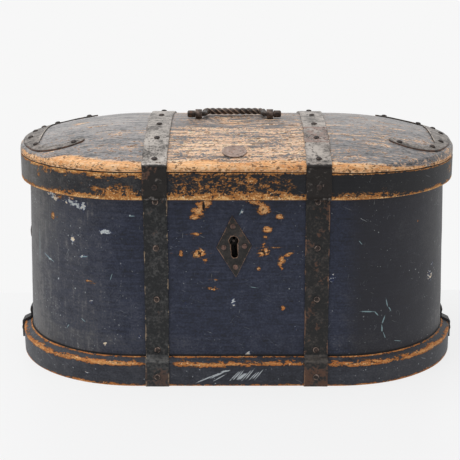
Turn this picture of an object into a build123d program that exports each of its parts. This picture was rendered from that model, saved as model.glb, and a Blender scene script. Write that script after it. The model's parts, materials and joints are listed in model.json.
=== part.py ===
from build123d import *
import math
import os

# A bentwood travel chest: an oval body with a cap lid, iron straps, a lock and a carrying handle.
# Millimetres. The origin is on the floor under the middle of the chest, the front faces -Y, and Z is up.
# Every bent piece follows one oval, which has two straight sides and two half-round ends, so its
# section is drawn as a distance out from the oval's middle line and a height above the floor.

# Lid: a bent hoop under a domed board
lid_length = 540.0
lid_depth = 300.0
lid_hoop_thickness = 7.5
lid_hoop_height = 33.0
lid_hoop_level = 228.0
joint_end_drop = 5.5
board_edge_height = 7.7
board_edge_round = 4.5
dome_radius = 438.0
edge_ease = 1.2

# Finger hollow under the handle
hollow_length = 76.0
hollow_depth = 6.5

# Body: a bent wall round a bottom board, with a hoop at its foot
lid_side_gap = 4.0
lid_rest_gap = 0.3
body_flare = 6.0
wall_thickness = 7.0
wall_foot_level = 2.0
bottom_level = 4.0
bottom_thickness = 12.0
foot_hoop_thickness = 10.4
foot_hoop_height = 35.0
foot_shoulder_height = 29.5

# Clearances between pieces that do not move on each other
fit_gap = 0.1
seat_gap = 0.05
hole_gap = 0.1

# Straps
strap_spacing = 189.0
lid_strap_width = 29.0
body_strap_width = 28.0
strap_thickness = 2.2
strap_floor_gap = 0.5
strap_tuck = 8.0

# Nails: low round heads
nail_head_diameter = 7.0
nail_head_height = 1.8
nail_shank_diameter = 2.6
nail_bite = 5.2
nail_end_gap = 0.3
body_nail_drop = 4.0
front_nail_levels = (168.5, 106.0, 43.0)
back_nail_levels = (200.0, 150.0, 100.0, 50.0)
foot_nail_level = 13.0
hoop_nail_level = 244.0
front_dome_nail_setbacks = (11.0, 63.0, 112.0)
back_dome_nail_setbacks = (139.0, 75.0, 20.0)

# Hinges: a pin through three rolled knuckles behind each strap
hinge_pin_diameter = 5.0
hinge_pin_bevel = 0.5
knuckle_count = 3
hinge_pin_overhang = 1.5
hinge_running_gap = 0.06
knuckle_gap = 0.35
hinge_drop = 5.0

# Crescent plates on the ends of the lid
plate_thickness = 1.8
plate_arm_radius = 40.5
plate_arm_width = 11.5
plate_corner_angle = 30.0
plate_tip_angle = 47.5
plate_tip_nail_angle = 60.0
plate_nail_inset = 9.5
plate_nail_angles = {"left": (-26.0, -8.0, 8.0, 20.0, 33.0), "right": (-33.0, -19.0, 2.0, 16.0, 31.0)}

# Clips over the foot hoop, one at each end, and the boss on the left end
clip_width = 16.0
clip_thickness = 2.5
clip_top_level = 50.0
clip_bottom_level = 9.0
clip_stand_off = {"left": 0.9, "right": 0.1}
clip_nail_levels = (43.0, 19.0)
boss_diameter = 20.0
boss_height = 2.2
boss_level = 150.0
boss_shank_diameter = 6.0

# Handle: a bail with knobbed ends, hung in two eye staples
handle_shift = -3.0
handle_arm_length = 28.0
handle_bar_radius = 2.95
handle_bend = 4.5
handle_corner = 8.0
grip_side = 6.5
grip_turns = 2.4
knob_diameter = 8.7
knob_length = 9.5
knob_round = 2.0
handle_span = 73.0
eye_inner_gap = 0.9
eye_width = 8.0
eye_wall = 2.8
eye_running_gap = 0.08
eye_shank_diameter = 5.0
eye_shank_length = 14.0
knob_side_gap = 0.6
bail_rest_gap = 0.5

# Disc on the front of the lid
disc_diameter = 28.5
disc_height = 1.8
disc_shank_diameter = 6.0
disc_shank_length = 8.0
disc_setback = 30.0

# Lock plate and keyhole
lock_level = 170.0
plate_width = 41.5
plate_height = 75.0
lock_plate_thickness = 1.8
plate_tilt = 3.5
keyhole_round_radius = 5.5
keyhole_round_rise = 7.0
keyhole_slot_width = 7.5
keyhole_slot_drop = 13.6
keyhole_wood_gap = 1.0
small_nail_head_diameter = 5.6
small_nail_head_height = 1.6
small_nail_shank_diameter = 2.2
small_nail_bite = 4.5
plate_nail_rise = 24.7
plate_nail_reach = 12.2

# Lock case behind the wall, with its bolt, spring and key pin
case_width = 76.0
case_bottom_drop = 20.0
case_top_rise = 58.0
case_depth = 20.0
case_sheet = 1.5
case_flange = 10.0
case_nail_inset = 14.0
tongue_slot_length = 14.0
tongue_slot_depth_gap = 2.6
rib_offset = 8.0
rib_height = 38.0
bolt_rise = 42.0
bolt_height = 8.0
bolt_width = 5.0
bolt_tail_margin = 1.0
bolt_nose_gap = 1.2
bolt_travel = 12.0
bolt_running_gap = 0.3
spring_thickness = 0.8
spring_end_gap = 1.65
key_pin_diameter = 3.0
key_pin_recess = 1.0

# Staple under the lid board, which the bolt goes through
staple_length = 44.0
staple_width = 13.0
staple_thickness = 2.0
tongue_thickness = 3.0
tongue_width = 12.0
tongue_foot = 5.0
tongue_setback = 9.12
tongue_eye_gap = 1.0
staple_nail_reach = 15.0

# Wooden pegs through the wall into the bottom board, and dowels between the lid hoop and its board
peg_diameter = 5.0
peg_length = 19.0
peg_run_places = (-84.0, -28.0, 28.0, 84.0)
peg_end_angles = (-60.0, 0.0, 60.0)
dowel_diameter = 3.0
dowel_hoop_depth = 10.0
dowel_board_depth = 4.0
dowel_run_places = (-60.0, 0.0, 60.0)
dowel_end_angles = (-70.0, -25.0, 25.0, 70.0)

# What follows from the sizes above
half_straight = (lid_length - lid_depth) / 2
lid_out = lid_depth / 2
lid_in = lid_out - lid_hoop_thickness
joint_level = lid_hoop_level + lid_hoop_height
joint_radius = ((lid_length / 2) ** 2 + joint_end_drop**2) / (2 * joint_end_drop)
board_edge_level = joint_level + board_edge_height
dome_centre_level = board_edge_level - math.sqrt(dome_radius**2 - lid_out**2)
ridge_level = dome_centre_level + dome_radius
wall_top = joint_level - lid_rest_gap
body_top_out = lid_in - lid_side_gap
body_foot_out = body_top_out + body_flare
flare_slope = body_flare / wall_top
foot_in = body_foot_out + fit_gap
foot_out = foot_in + foot_hoop_thickness
strap_places = {"left": -strap_spacing / 2, "right": strap_spacing / 2}
sides = {"left": -1, "right": 1}
front = 1
back = -1
knuckle_bore = hinge_pin_diameter / 2 + hinge_running_gap
knuckle_outer = knuckle_bore + strap_thickness
hinge_out = lid_out + fit_gap + knuckle_outer
hinge_level = lid_hoop_level - hinge_drop
middle_knuckle = lid_strap_width / knuckle_count
eye_bore = handle_bar_radius + eye_running_gap
eye_outer = eye_bore + eye_wall
pivot_level = ridge_level + eye_outer + fit_gap
grip_reach = grip_side * math.sqrt(2) / 2


def wall_out(level):
    """How far out the body's face is at a height: it flares evenly from lid to floor."""
    return body_foot_out - flare_slope * level


def joint_line(x):
    """Height of the joint between lid hoop and lid board, which falls in an arc towards the ends."""
    return joint_level - (joint_radius - math.sqrt(joint_radius**2 - x**2))


def run_plane(x, facing):
    """A plane square to a straight side, with its first axis pointing out and its second up."""
    return Plane(origin=(x, 0, 0), x_dir=(0, -facing, 0), z_dir=(-facing, 0, 0))


def end_plane(side):
    """The same at the tip of a half-round end."""
    return Plane(origin=(side * half_straight, 0, 0), x_dir=(side, 0, 0), z_dir=(0, -side, 0))


def wall_plane(x, level, facing, lift):
    """A plane on the body's flared front or back, lifted off it along its normal."""
    normal = Vector(0, -facing, flare_slope).normalized()
    foot = Vector(x, -facing * wall_out(level), level)
    return Plane(origin=foot + normal * lift, x_dir=(facing, 0, 0), z_dir=normal)


def upright_plane(x, out, level, facing):
    """A plane on an upright face of the front or back."""
    return Plane(origin=(x, -facing * out, level), x_dir=(facing, 0, 0), z_dir=(0, -facing, 0))


def dome_plane(x, y, lift):
    """A plane that touches the dome over a point of the plan, lifted off it along its normal."""
    centre = Vector(max(-half_straight, min(half_straight, x)), 0, dome_centre_level)
    spread = Vector(x - centre.X, y, 0)
    rise = math.sqrt(dome_radius**2 - spread.length**2)
    normal = (spread + Vector(0, 0, rise)).normalized()
    return Plane(origin=centre + normal * (dome_radius + lift), z_dir=normal)


def around_oval(out, run_places, end_angles):
    """Points of the plan at one distance out, with the outward direction at each."""
    found = []
    for facing in (front, back):
        for x in run_places:
            found.append((Vector(x, -facing * out, 0), Vector(0, -facing, 0)))
    for side in sides.values():
        for angle in end_angles:
            away = Vector(side, 0, 0).rotate(Axis.Z, angle)
            found.append((Vector(side * half_straight, 0, 0) + away * out, away))
    return found


def section_of(points, plane):
    """A straight-sided outline on a plane."""
    with BuildSketch(plane) as outline:
        with BuildLine():
            Polyline(*points, close=True)
        make_face()
    return outline.sketch


def carry_round(draw):
    """Carry a section round the oval: a straight run and a half turn, twice."""
    for side in (front, back):
        section = draw(run_plane(side * half_straight, side))
        turn_line = Axis((side * half_straight, 0, 0), (0, 0, 1))
        extrude(section, amount=2 * half_straight)
        revolve(section, axis=turn_line, revolution_arc=180)


def joint_space(level, far_level):
    """The space between the arched joint line, with its crown at a level, and a far level."""
    reach = lid_length
    sag = joint_radius - math.sqrt(joint_radius**2 - reach**2)
    with BuildSketch(Plane.XZ) as space:
        with BuildLine():
            ThreePointArc((-reach, level - sag), (0, level), (reach, level - sag))
            Polyline((reach, level - sag), (reach, far_level), (-reach, far_level), (-reach, level - sag))
        make_face()
    return space.sketch


def cut_along_joint(level, far_level):
    """Cut the piece in hand along the arched joint line."""
    extrude(joint_space(level, far_level), amount=lid_depth, both=True, mode=Mode.SUBTRACT)


def lid_outline(grow, bottom):
    """The lid from the side, grown outward by a distance, down to a level."""
    half = lid_out + grow
    radius = dome_radius + grow
    edge_level = dome_centre_level + math.sqrt(radius**2 - half**2)
    with BuildSketch(Plane.YZ) as outline:
        with BuildLine():
            Polyline((-half, edge_level), (-half, bottom), (half, bottom), (half, edge_level))
            ThreePointArc((half, edge_level), (0, dome_centre_level + radius), (-half, edge_level))
        make_face()
        fillet(outline.vertices().group_by(Axis.Y)[-1], radius=board_edge_round + grow)
    return outline.sketch


def strap_section(plane, points, stand_off, thickness):
    """A strap that follows a line of points, standing off it by a gap, on its outer side."""
    with BuildSketch(plane) as section:
        with BuildLine() as outer:
            Polyline(*points)
            offset(amount=stand_off + thickness, side=Side.LEFT)
        make_face()
        with BuildLine() as inner:
            Polyline(*points)
            offset(amount=stand_off, side=Side.LEFT)
        make_face(mode=Mode.SUBTRACT)
    return section.sketch


def make_nail(head_diameter, head_height, shank_diameter, length):
    """A nail whose domed head stands on Z = 0 and whose shank points down."""
    with BuildPart() as nail:
        with BuildSketch(Plane.XZ):
            with BuildLine():
                TangentArc((0, head_height), (head_diameter / 2, 0), tangent=(1, 0))
                Polyline(
                    (head_diameter / 2, 0),
                    (shank_diameter / 2, 0),
                    (shank_diameter / 2, -length),
                    (0, -length),
                    (0, head_height),
                )
            make_face()
        revolve(axis=Axis.Z)
    return nail.part


def nail_group(places, nail):
    """The same nail at each of several places, as one group of separate solids."""
    with BuildPart() as group:
        with Locations(*places):
            add(nail)
    return group.part


def bore_nail_holes(places, shank_diameter, length):
    """Holes for nails at their places, a little wider and deeper than their shanks."""
    with Locations(*places):
        Hole(radius=shank_diameter / 2 + hole_gap, depth=length + nail_end_gap)


# Where the nails go
strap_nail_length = strap_thickness + fit_gap + nail_bite
strap_lift = fit_gap + strap_thickness + seat_gap
wall_nail_levels = {front: (lid_hoop_level - body_nail_drop,) + front_nail_levels, back: back_nail_levels}
body_strap_nail_places = {}
wall_strap_nails = []
foot_strap_nails = []
dome_strap_nails = {}
hoop_strap_nails = {}
dome_nail_places = [setback - lid_out for setback in front_dome_nail_setbacks]
dome_nail_places += [lid_out - setback for setback in back_dome_nail_setbacks]
for side, strap_x in strap_places.items():
    hoop_strap_nails[side] = []
    for facing in (front, back):
        on_wall = [wall_plane(strap_x, level, facing, strap_lift) for level in wall_nail_levels[facing]]
        on_foot = upright_plane(strap_x, foot_out + strap_lift, foot_nail_level, facing)
        body_strap_nail_places[side, facing] = on_wall + [on_foot]
        wall_strap_nails.extend(on_wall)
        foot_strap_nails.append(on_foot)
        hoop_strap_nails[side].append(upright_plane(strap_x, lid_out + strap_lift, hoop_nail_level, facing))
    dome_strap_nails[side] = [dome_plane(strap_x, y, strap_lift) for y in dome_nail_places]
all_front_strap_nails = body_strap_nail_places["left", front] + body_strap_nail_places["right", front]
all_back_strap_nails = body_strap_nail_places["left", back] + body_strap_nail_places["right", back]
all_lid_strap_nails = []
for side in sides:
    all_lid_strap_nails += dome_strap_nails[side] + hoop_strap_nails[side]

# Crescent plates: the outer edge follows the lid's edge, then curls in along each arm
plate_out = lid_out - board_edge_round
plate_nail_out = plate_out - plate_nail_inset
arm_centre_out = plate_out - plate_arm_radius
arm_middle_radius = plate_arm_radius - plate_arm_width / 2
plate_lift = fit_gap + plate_thickness + seat_gap
plate_nail_length = fit_gap + plate_thickness + nail_bite


def arm_centre(side, mirror_sign):
    """Centre of the arc that an arm of a crescent plate follows, in plan."""
    corner = math.radians(plate_corner_angle)
    x = side * (half_straight + arm_centre_out * math.cos(corner))
    return (x, mirror_sign * arm_centre_out * math.sin(corner))


def arm_point(side, mirror_sign, radius, angle):
    """A point of an arm, at a radius and an angle round from the side axis towards the middle."""
    centre_x, centre_y = arm_centre(side, mirror_sign)
    turn = math.radians(angle)
    return (centre_x - side * radius * math.cos(turn), centre_y + mirror_sign * radius * math.sin(turn))


end_plate_nail_places = {}
for side, sign in sides.items():
    end_plate_nail_places[side] = []
    for angle in plate_nail_angles[side]:
        turn = math.radians(angle)
        nail_x = sign * (half_straight + plate_nail_out * math.cos(turn))
        end_plate_nail_places[side].append(dome_plane(nail_x, plate_nail_out * math.sin(turn), plate_lift))
    for mirror_sign in (front, back):
        tip_x, tip_y = arm_point(sign, -mirror_sign, arm_middle_radius, plate_tip_nail_angle)
        end_plate_nail_places[side].append(dome_plane(tip_x, tip_y, plate_lift))

# Clips and boss
clip_nail_length = {}
clip_nail_places = {}
for side, sign in sides.items():
    clip_lift = clip_stand_off[side] + clip_thickness + seat_gap
    clip_nail_length[side] = clip_stand_off[side] + clip_thickness + nail_bite
    end_normal = Vector(sign, 0, flare_slope).normalized()
    wall_point = Vector(sign * (half_straight + wall_out(clip_nail_levels[0])), 0, clip_nail_levels[0])
    hoop_point = Vector(sign * (half_straight + foot_out + clip_lift), 0, clip_nail_levels[1])
    clip_nail_places[side] = [
        Plane(origin=wall_point + end_normal * clip_lift, z_dir=end_normal),
        Plane(origin=hoop_point, z_dir=(sign, 0, 0)),
    ]
boss_normal = Vector(-1, 0, flare_slope).normalized()
boss_point = Vector(-half_straight - wall_out(boss_level), 0, boss_level)
boss_place = Plane(origin=boss_point + boss_normal * seat_gap, z_dir=boss_normal)

# Disc place
disc_place = dome_plane(handle_shift, disc_setback - lid_out, seat_gap)

# Handle places
eye_places = {
    "left": handle_shift - handle_span / 2 - handle_bar_radius - eye_inner_gap - eye_width / 2,
    "right": handle_shift + handle_span / 2 + handle_bar_radius + eye_inner_gap + eye_width / 2,
}
bail_fall = pivot_level - dome_plane(handle_shift, handle_arm_length, 0).origin.Z - grip_reach - bail_rest_gap
bail_angle = math.asin(bail_fall / handle_arm_length)
bail_plane = Plane(
    origin=(handle_shift, 0, pivot_level),
    x_dir=(1, 0, 0),
    z_dir=(0, math.sin(bail_angle), math.cos(bail_angle)),
)

# Lock places, all on planes parallel to the sloping front wall
lock_shift = handle_shift
lock_lift = seat_gap
lock_nail_lift = lock_lift + lock_plate_thickness + seat_gap
lock_nail_length = lock_plate_thickness + small_nail_bite
case_depth_start = wall_thickness + fit_gap
tongue_out = wall_out(lock_level + bolt_rise) - wall_thickness - tongue_setback
spring_start = rib_offset + case_sheet / 2 + fit_gap
spring_length = case_width / 2 - case_sheet - spring_start - spring_end_gap


def lock_plane(lift):
    """A plane parallel to the front wall, centred on the lock plate."""
    return wall_plane(lock_shift, lock_level, front, lift)


def askew_lock_plane(x, y, lift):
    """A plane at a place on the lock plate, which sits a little askew."""
    base = lock_plane(lift)
    tilt = math.radians(plate_tilt)
    across = base.x_dir * math.cos(tilt) + base.y_dir * math.sin(tilt)
    upward = base.y_dir * math.cos(tilt) - base.x_dir * math.sin(tilt)
    return Plane(origin=base.origin + across * x + upward * y, x_dir=across, z_dir=base.z_dir)


def keyhole(lift, grow):
    """The keyhole's outline: a round head over a slot with a round foot."""
    slot_radius = keyhole_slot_width / 2 + grow
    slot_foot = keyhole_slot_drop - keyhole_slot_width / 2
    with BuildSketch(askew_lock_plane(0, 0, lift)) as outline:
        with Locations((0, keyhole_round_rise)):
            Circle(keyhole_round_radius + grow)
        with Locations((0, -slot_foot)):
            Circle(slot_radius)
        with Locations((0, (keyhole_round_rise - slot_foot) / 2)):
            Rectangle(2 * slot_radius, keyhole_round_rise + slot_foot)
    return outline.sketch


escutcheon_nail_places = []
for sign in (-1, 1):
    escutcheon_nail_places.append(askew_lock_plane(0, sign * plate_nail_rise, lock_nail_lift))
    escutcheon_nail_places.append(askew_lock_plane(sign * plate_nail_reach, 0, lock_nail_lift))
case_nail_depth = case_depth_start + case_sheet + seat_gap
case_nail_length = case_sheet + fit_gap + small_nail_bite
case_nail_places = []
for sign in (-1, 1):
    for y in (case_nail_inset - case_bottom_drop, case_top_rise - case_nail_inset):
        base = lock_plane(-case_nail_depth)
        spot = base.from_local_coords(Vector(sign * (case_width + case_flange) / 2, y, 0))
        case_nail_places.append(Plane(origin=spot, x_dir=base.x_dir, z_dir=-base.z_dir))
staple_top = joint_line(abs(lock_shift) + staple_length / 2) - fit_gap
staple_bottom = staple_top - staple_thickness
staple_nail_level = staple_bottom - seat_gap
staple_nail_places = []
for sign in (-1, 1):
    spot = (lock_shift + sign * staple_nail_reach, -tongue_out, staple_nail_level)
    staple_nail_places.append(Plane(origin=spot, z_dir=(0, 0, -1)))
staple_nail_length = staple_thickness + fit_gap + small_nail_bite

# Pegs and dowels
peg_level = bottom_level + bottom_thickness / 2
peg_places = []
for point, away in around_oval(wall_out(peg_level), peg_run_places, peg_end_angles):
    peg_places.append(Plane(origin=point + Vector(0, 0, peg_level), z_dir=away))
dowel_places = []
for point, away in around_oval(lid_out - lid_hoop_thickness / 2, dowel_run_places, dowel_end_angles):
    dowel_level = joint_line(point.X) + dowel_board_depth
    dowel_places.append(Plane(origin=(point.X, point.Y, dowel_level), z_dir=(0, 0, 1)))
dowel_length = dowel_hoop_depth + dowel_board_depth


# Body wall: a bent board, flared towards the floor, with its top edge arched like the lid's joint
def wall_section(plane):
    """The wall's section, a little taller than the wall before its top is cut."""
    points = [
        (wall_out(wall_foot_level), wall_foot_level),
        (wall_out(joint_level), joint_level),
        (wall_out(joint_level) - wall_thickness, joint_level),
        (wall_out(wall_foot_level) - wall_thickness, wall_foot_level),
    ]
    return section_of(points, plane)


with BuildPart() as body_wall:
    carry_round(wall_section)
    cut_along_joint(wall_top, joint_level + lid_hoop_height)
    bore_nail_holes(wall_strap_nails, nail_shank_diameter, strap_nail_length)
    bore_nail_holes(escutcheon_nail_places, small_nail_shank_diameter, lock_nail_length)
    bore_nail_holes(case_nail_places, small_nail_shank_diameter, case_nail_length)
    bore_nail_holes([boss_place], boss_shank_diameter, nail_bite)
    for side in sides:
        bore_nail_holes(clip_nail_places[side][:1], nail_shank_diameter, clip_nail_length[side])
    bore_nail_holes(peg_places, peg_diameter, peg_length)
    extrude(keyhole(lock_lift, keyhole_wood_gap), amount=-2 * wall_thickness, mode=Mode.SUBTRACT)
body_wall.part.label = "body_wall"


# Bottom board inside the wall
def bottom_section(plane):
    """Half the bottom board's section, with its edge sloped to the wall."""
    inner = wall_thickness + fit_gap
    top = bottom_level + bottom_thickness
    points = [
        (0, bottom_level),
        (wall_out(bottom_level) - inner, bottom_level),
        (wall_out(top) - inner, top),
        (0, top),
    ]
    return section_of(points, plane)


with BuildPart() as bottom_board:
    carry_round(bottom_section)
    bore_nail_holes(peg_places, peg_diameter, peg_length)
bottom_board.part.label = "bottom_board"

# Pegs that hold the bottom board
with BuildPart() as bottom_pegs:
    with Locations(*peg_places):
        Cylinder(peg_diameter / 2, peg_length, align=(Align.CENTER, Align.CENTER, Align.MAX))
bottom_pegs.part.label = "bottom_pegs"


# Foot hoop round the wall, with its top bevelled so that water runs off
def foot_section(plane):
    """The foot hoop's section, with eased outer edges and a bevelled top."""
    inner_top = wall_out(foot_hoop_height) + fit_gap
    points = [
        (foot_in, 0),
        (foot_out - edge_ease, 0),
        (foot_out, edge_ease),
        (foot_out, foot_shoulder_height),
        (inner_top, foot_hoop_height),
    ]
    return section_of(points, plane)


with BuildPart() as foot_hoop:
    carry_round(foot_section)
    bore_nail_holes(foot_strap_nails, nail_shank_diameter, strap_nail_length)
    for side in sides:
        bore_nail_holes(clip_nail_places[side][1:], nail_shank_diameter, clip_nail_length[side])
foot_hoop.part.label = "foot_hoop"


# Lid hoop, arched along its top edge
def lid_hoop_section(plane):
    """The lid hoop's section, a little taller than the hoop before its top is cut."""
    tall = joint_level + edge_ease
    points = [
        (lid_in, lid_hoop_level),
        (lid_out - edge_ease, lid_hoop_level),
        (lid_out, lid_hoop_level + edge_ease),
        (lid_out, tall),
        (lid_in, tall),
    ]
    return section_of(points, plane)


with BuildPart() as lid_hoop:
    carry_round(lid_hoop_section)
    cut_along_joint(joint_level, joint_level + lid_hoop_height)
    top_edges = lid_hoop.faces().sort_by(Axis.Z)[-1].outer_wire().edges()
    chamfer(top_edges, length=edge_ease)
    for side in sides:
        bore_nail_holes(hoop_strap_nails[side], nail_shank_diameter, strap_nail_length)
    bore_nail_holes(dowel_places, dowel_diameter, dowel_length)
lid_hoop.part.label = "lid_hoop"


# Lid board: domed on top, with a rounded edge and a finger hollow
def board_section(plane):
    """Half the lid board's section, from its middle line to its rounded edge."""
    bottom = joint_level - 2 * joint_end_drop
    with BuildSketch(plane) as section:
        with BuildLine():
            Polyline((0, ridge_level), (0, bottom), (lid_out, bottom), (lid_out, board_edge_level))
            TangentArc((0, ridge_level), (lid_out, board_edge_level), tangent=(1, 0))
        make_face()
        fillet(section.vertices().group_by(Axis.Y)[1], radius=board_edge_round)
    return section.sketch


hollow_radius = ((hollow_length / 2) ** 2 + hollow_depth**2) / (2 * hollow_depth)
hollow_centre_level = ridge_level - hollow_depth + hollow_radius
with BuildPart() as lid_board:
    carry_round(board_section)
    cut_along_joint(joint_level, lid_hoop_level - lid_hoop_height)
    bottom_edges = lid_board.faces().sort_by(Axis.Z)[0].outer_wire().edges()
    chamfer(bottom_edges, length=edge_ease)
    with Locations((handle_shift, 0, hollow_centre_level)):
        Sphere(hollow_radius, mode=Mode.SUBTRACT)
    for side in sides:
        bore_nail_holes(dome_strap_nails[side], nail_shank_diameter, strap_nail_length)
        bore_nail_holes(end_plate_nail_places[side], nail_shank_diameter, plate_nail_length)
    bore_nail_holes([disc_place], disc_shank_diameter, disc_shank_length)
    bore_nail_holes(staple_nail_places, small_nail_shank_diameter, staple_nail_length)
    bore_nail_holes(dowel_places, dowel_diameter, dowel_length)
    with Locations(*[(x, 0, ridge_level) for x in eye_places.values()]):
        Hole(radius=eye_shank_diameter / 2 + hole_gap, depth=eye_shank_length + nail_end_gap)
lid_board.part.label = "lid_board"

# Dowels between the lid hoop and the lid board
with BuildPart() as lid_dowels:
    with Locations(*dowel_places):
        Cylinder(dowel_diameter / 2, dowel_length, align=(Align.CENTER, Align.CENTER, Align.MAX))
lid_dowels.part.label = "lid_dowels"

# Front straps, from under the lid hoop down over the foot hoop
front_strap_top = lid_hoop_level + strap_tuck
foot_line = [
    (wall_out(foot_hoop_height), foot_hoop_height),
    (foot_out, foot_shoulder_height),
    (foot_out, strap_floor_gap),
]
front_straps = {}
for side, strap_x in strap_places.items():
    front_line = [(wall_out(front_strap_top), front_strap_top)] + foot_line
    with BuildPart() as front_strap:
        section = strap_section(run_plane(strap_x, front), front_line, fit_gap, strap_thickness)
        extrude(section, amount=body_strap_width / 2, both=True)
        bore_nail_holes(body_strap_nail_places[side, front], nail_shank_diameter, strap_nail_length)
    front_strap.part.label = "front_strap_" + side
    front_straps[side] = front_strap.part

# Back straps, each cranked out under the lid hoop to two knuckles on the hinge pin
leaf_level = hinge_level - knuckle_outer
back_straps = {}
for side, strap_x in strap_places.items():
    back_line = [(wall_out(leaf_level), leaf_level)] + foot_line
    plane = run_plane(strap_x, back)
    with BuildPart() as back_strap:
        section = strap_section(plane, back_line, fit_gap, strap_thickness)
        extrude(section, amount=body_strap_width / 2, both=True)
        leaf_start = wall_out(leaf_level) + fit_gap
        with BuildSketch(plane):
            with Locations(((leaf_start + hinge_out) / 2, leaf_level + strap_thickness / 2)):
                Rectangle(hinge_out - leaf_start, strap_thickness)
            with Locations((hinge_out, hinge_level)):
                Circle(knuckle_outer)
        extrude(amount=body_strap_width / 2, both=True)
        with BuildSketch(plane):
            with Locations((hinge_out, hinge_level)):
                Rectangle(2 * (knuckle_outer + strap_thickness), 2 * (knuckle_outer + strap_thickness))
        extrude(amount=middle_knuckle / 2 + knuckle_gap, both=True, mode=Mode.SUBTRACT)
        with BuildSketch(plane):
            with Locations((hinge_out, hinge_level)):
                Circle(knuckle_bore)
        extrude(amount=body_strap_width, both=True, mode=Mode.SUBTRACT)
        bore_nail_holes(body_strap_nail_places[side, back], nail_shank_diameter, strap_nail_length)
    back_strap.part.label = "back_strap_" + side
    back_straps[side] = back_strap.part

# Lid straps, from the front of the hoop over the dome to a knuckle on the hinge pin
lid_strap_bottom = lid_hoop_level + strap_floor_gap
lid_straps = {}
for side, strap_x in strap_places.items():
    plane = run_plane(strap_x, back)
    with BuildPart() as lid_strap:
        outer = lid_outline(fit_gap + strap_thickness, lid_strap_bottom).moved(Location((strap_x, 0, 0)))
        inner = lid_outline(fit_gap, lid_strap_bottom - lid_hoop_height).moved(Location((strap_x, 0, 0)))
        extrude(outer, amount=lid_strap_width / 2, both=True)
        extrude(inner, amount=lid_strap_width, both=True, mode=Mode.SUBTRACT)
        with BuildSketch(plane):
            with Locations((lid_out + fit_gap + strap_thickness / 2, (lid_strap_bottom + hinge_level) / 2)):
                Rectangle(strap_thickness, lid_strap_bottom - hinge_level)
            with Locations((hinge_out, hinge_level)):
                Circle(knuckle_outer)
        extrude(amount=middle_knuckle / 2, both=True)
        with BuildSketch(plane):
            with Locations((hinge_out, hinge_level)):
                Circle(knuckle_bore)
        extrude(amount=lid_strap_width, both=True, mode=Mode.SUBTRACT)
        own_nails = dome_strap_nails[side] + hoop_strap_nails[side]
        bore_nail_holes(own_nails, nail_shank_diameter, strap_nail_length)
    lid_strap.part.label = "lid_strap_" + side
    lid_straps[side] = lid_strap.part

# Hinge pins
hinge_pins = {}
for side, strap_x in strap_places.items():
    pin_length = body_strap_width + 2 * hinge_pin_overhang
    with BuildPart() as hinge_pin:
        with BuildSketch(run_plane(strap_x, back)):
            with Locations((hinge_out, hinge_level)):
                Circle(hinge_pin_diameter / 2)
        extrude(amount=pin_length / 2, both=True)
        pin_rims = hinge_pin.edges().filter_by(GeomType.CIRCLE)
        chamfer(pin_rims, length=hinge_pin_bevel)
    hinge_pin.part.label = "hinge_pin_" + side
    hinge_pins[side] = hinge_pin.part

# Strap nails
strap_nail = make_nail(nail_head_diameter, nail_head_height, nail_shank_diameter, strap_nail_length)
front_strap_nails = nail_group(all_front_strap_nails, strap_nail)
front_strap_nails.label = "front_strap_nails"
back_strap_nails = nail_group(all_back_strap_nails, strap_nail)
back_strap_nails.label = "back_strap_nails"
lid_strap_nails = nail_group(all_lid_strap_nails, strap_nail)
lid_strap_nails.label = "lid_strap_nails"

# Crescent plates: a thin shell over the dome, cut to the crescent's plan
end_plates = {}
for side, sign in sides.items():
    with BuildPart() as end_plate:
        with BuildSketch():
            with BuildLine():
                corner = math.radians(plate_corner_angle)
                corner_x = sign * (half_straight + plate_out * math.cos(corner))
                corner_y = plate_out * math.sin(corner)
                tip_x = sign * (half_straight + plate_out)
                ThreePointArc((corner_x, -corner_y), (tip_x, 0), (corner_x, corner_y))
                turn_start = 180 - plate_corner_angle
                turn_middle = (turn_start + plate_tip_angle) / 2
                for end in (-1, 1):
                    outer_tip = arm_point(sign, end, plate_arm_radius, plate_tip_angle)
                    outer_middle = arm_point(sign, end, plate_arm_radius, turn_middle)
                    ThreePointArc((corner_x, end * corner_y), outer_middle, outer_tip)
                    inner_radius = plate_arm_radius - plate_arm_width
                    inner_tip = arm_point(sign, end, inner_radius, plate_tip_angle)
                    inner_middle = arm_point(sign, end, inner_radius, (plate_tip_angle + 180) / 2)
                    inner_end = arm_point(sign, end, inner_radius, 180)
                    round_angle = plate_tip_angle - math.degrees(plate_arm_width / 2 / arm_middle_radius)
                    round_point = arm_point(sign, end, arm_middle_radius, round_angle)
                    ThreePointArc(outer_tip, round_point, inner_tip)
                    ThreePointArc(inner_tip, inner_middle, inner_end)
                inner_low = arm_point(sign, -1, plate_arm_radius - plate_arm_width, 180)
                inner_high = arm_point(sign, 1, plate_arm_radius - plate_arm_width, 180)
                Line(inner_low, inner_high)
            make_face()
        extrude(amount=ridge_level + plate_thickness)
        with Locations((sign * half_straight, 0, dome_centre_level)):
            Sphere(dome_radius + fit_gap + plate_thickness, mode=Mode.INTERSECT)
        with Locations((sign * half_straight, 0, dome_centre_level)):
            Sphere(dome_radius + fit_gap, mode=Mode.SUBTRACT)
        bore_nail_holes(end_plate_nail_places[side], nail_shank_diameter, plate_nail_length)
    end_plate.part.label = "end_plate_" + side
    end_plates[side] = end_plate.part

plate_nail = make_nail(nail_head_diameter, nail_head_height, nail_shank_diameter, plate_nail_length)
end_plate_nails = nail_group(end_plate_nail_places["left"] + end_plate_nail_places["right"], plate_nail)
end_plate_nails.label = "end_plate_nails"

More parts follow.
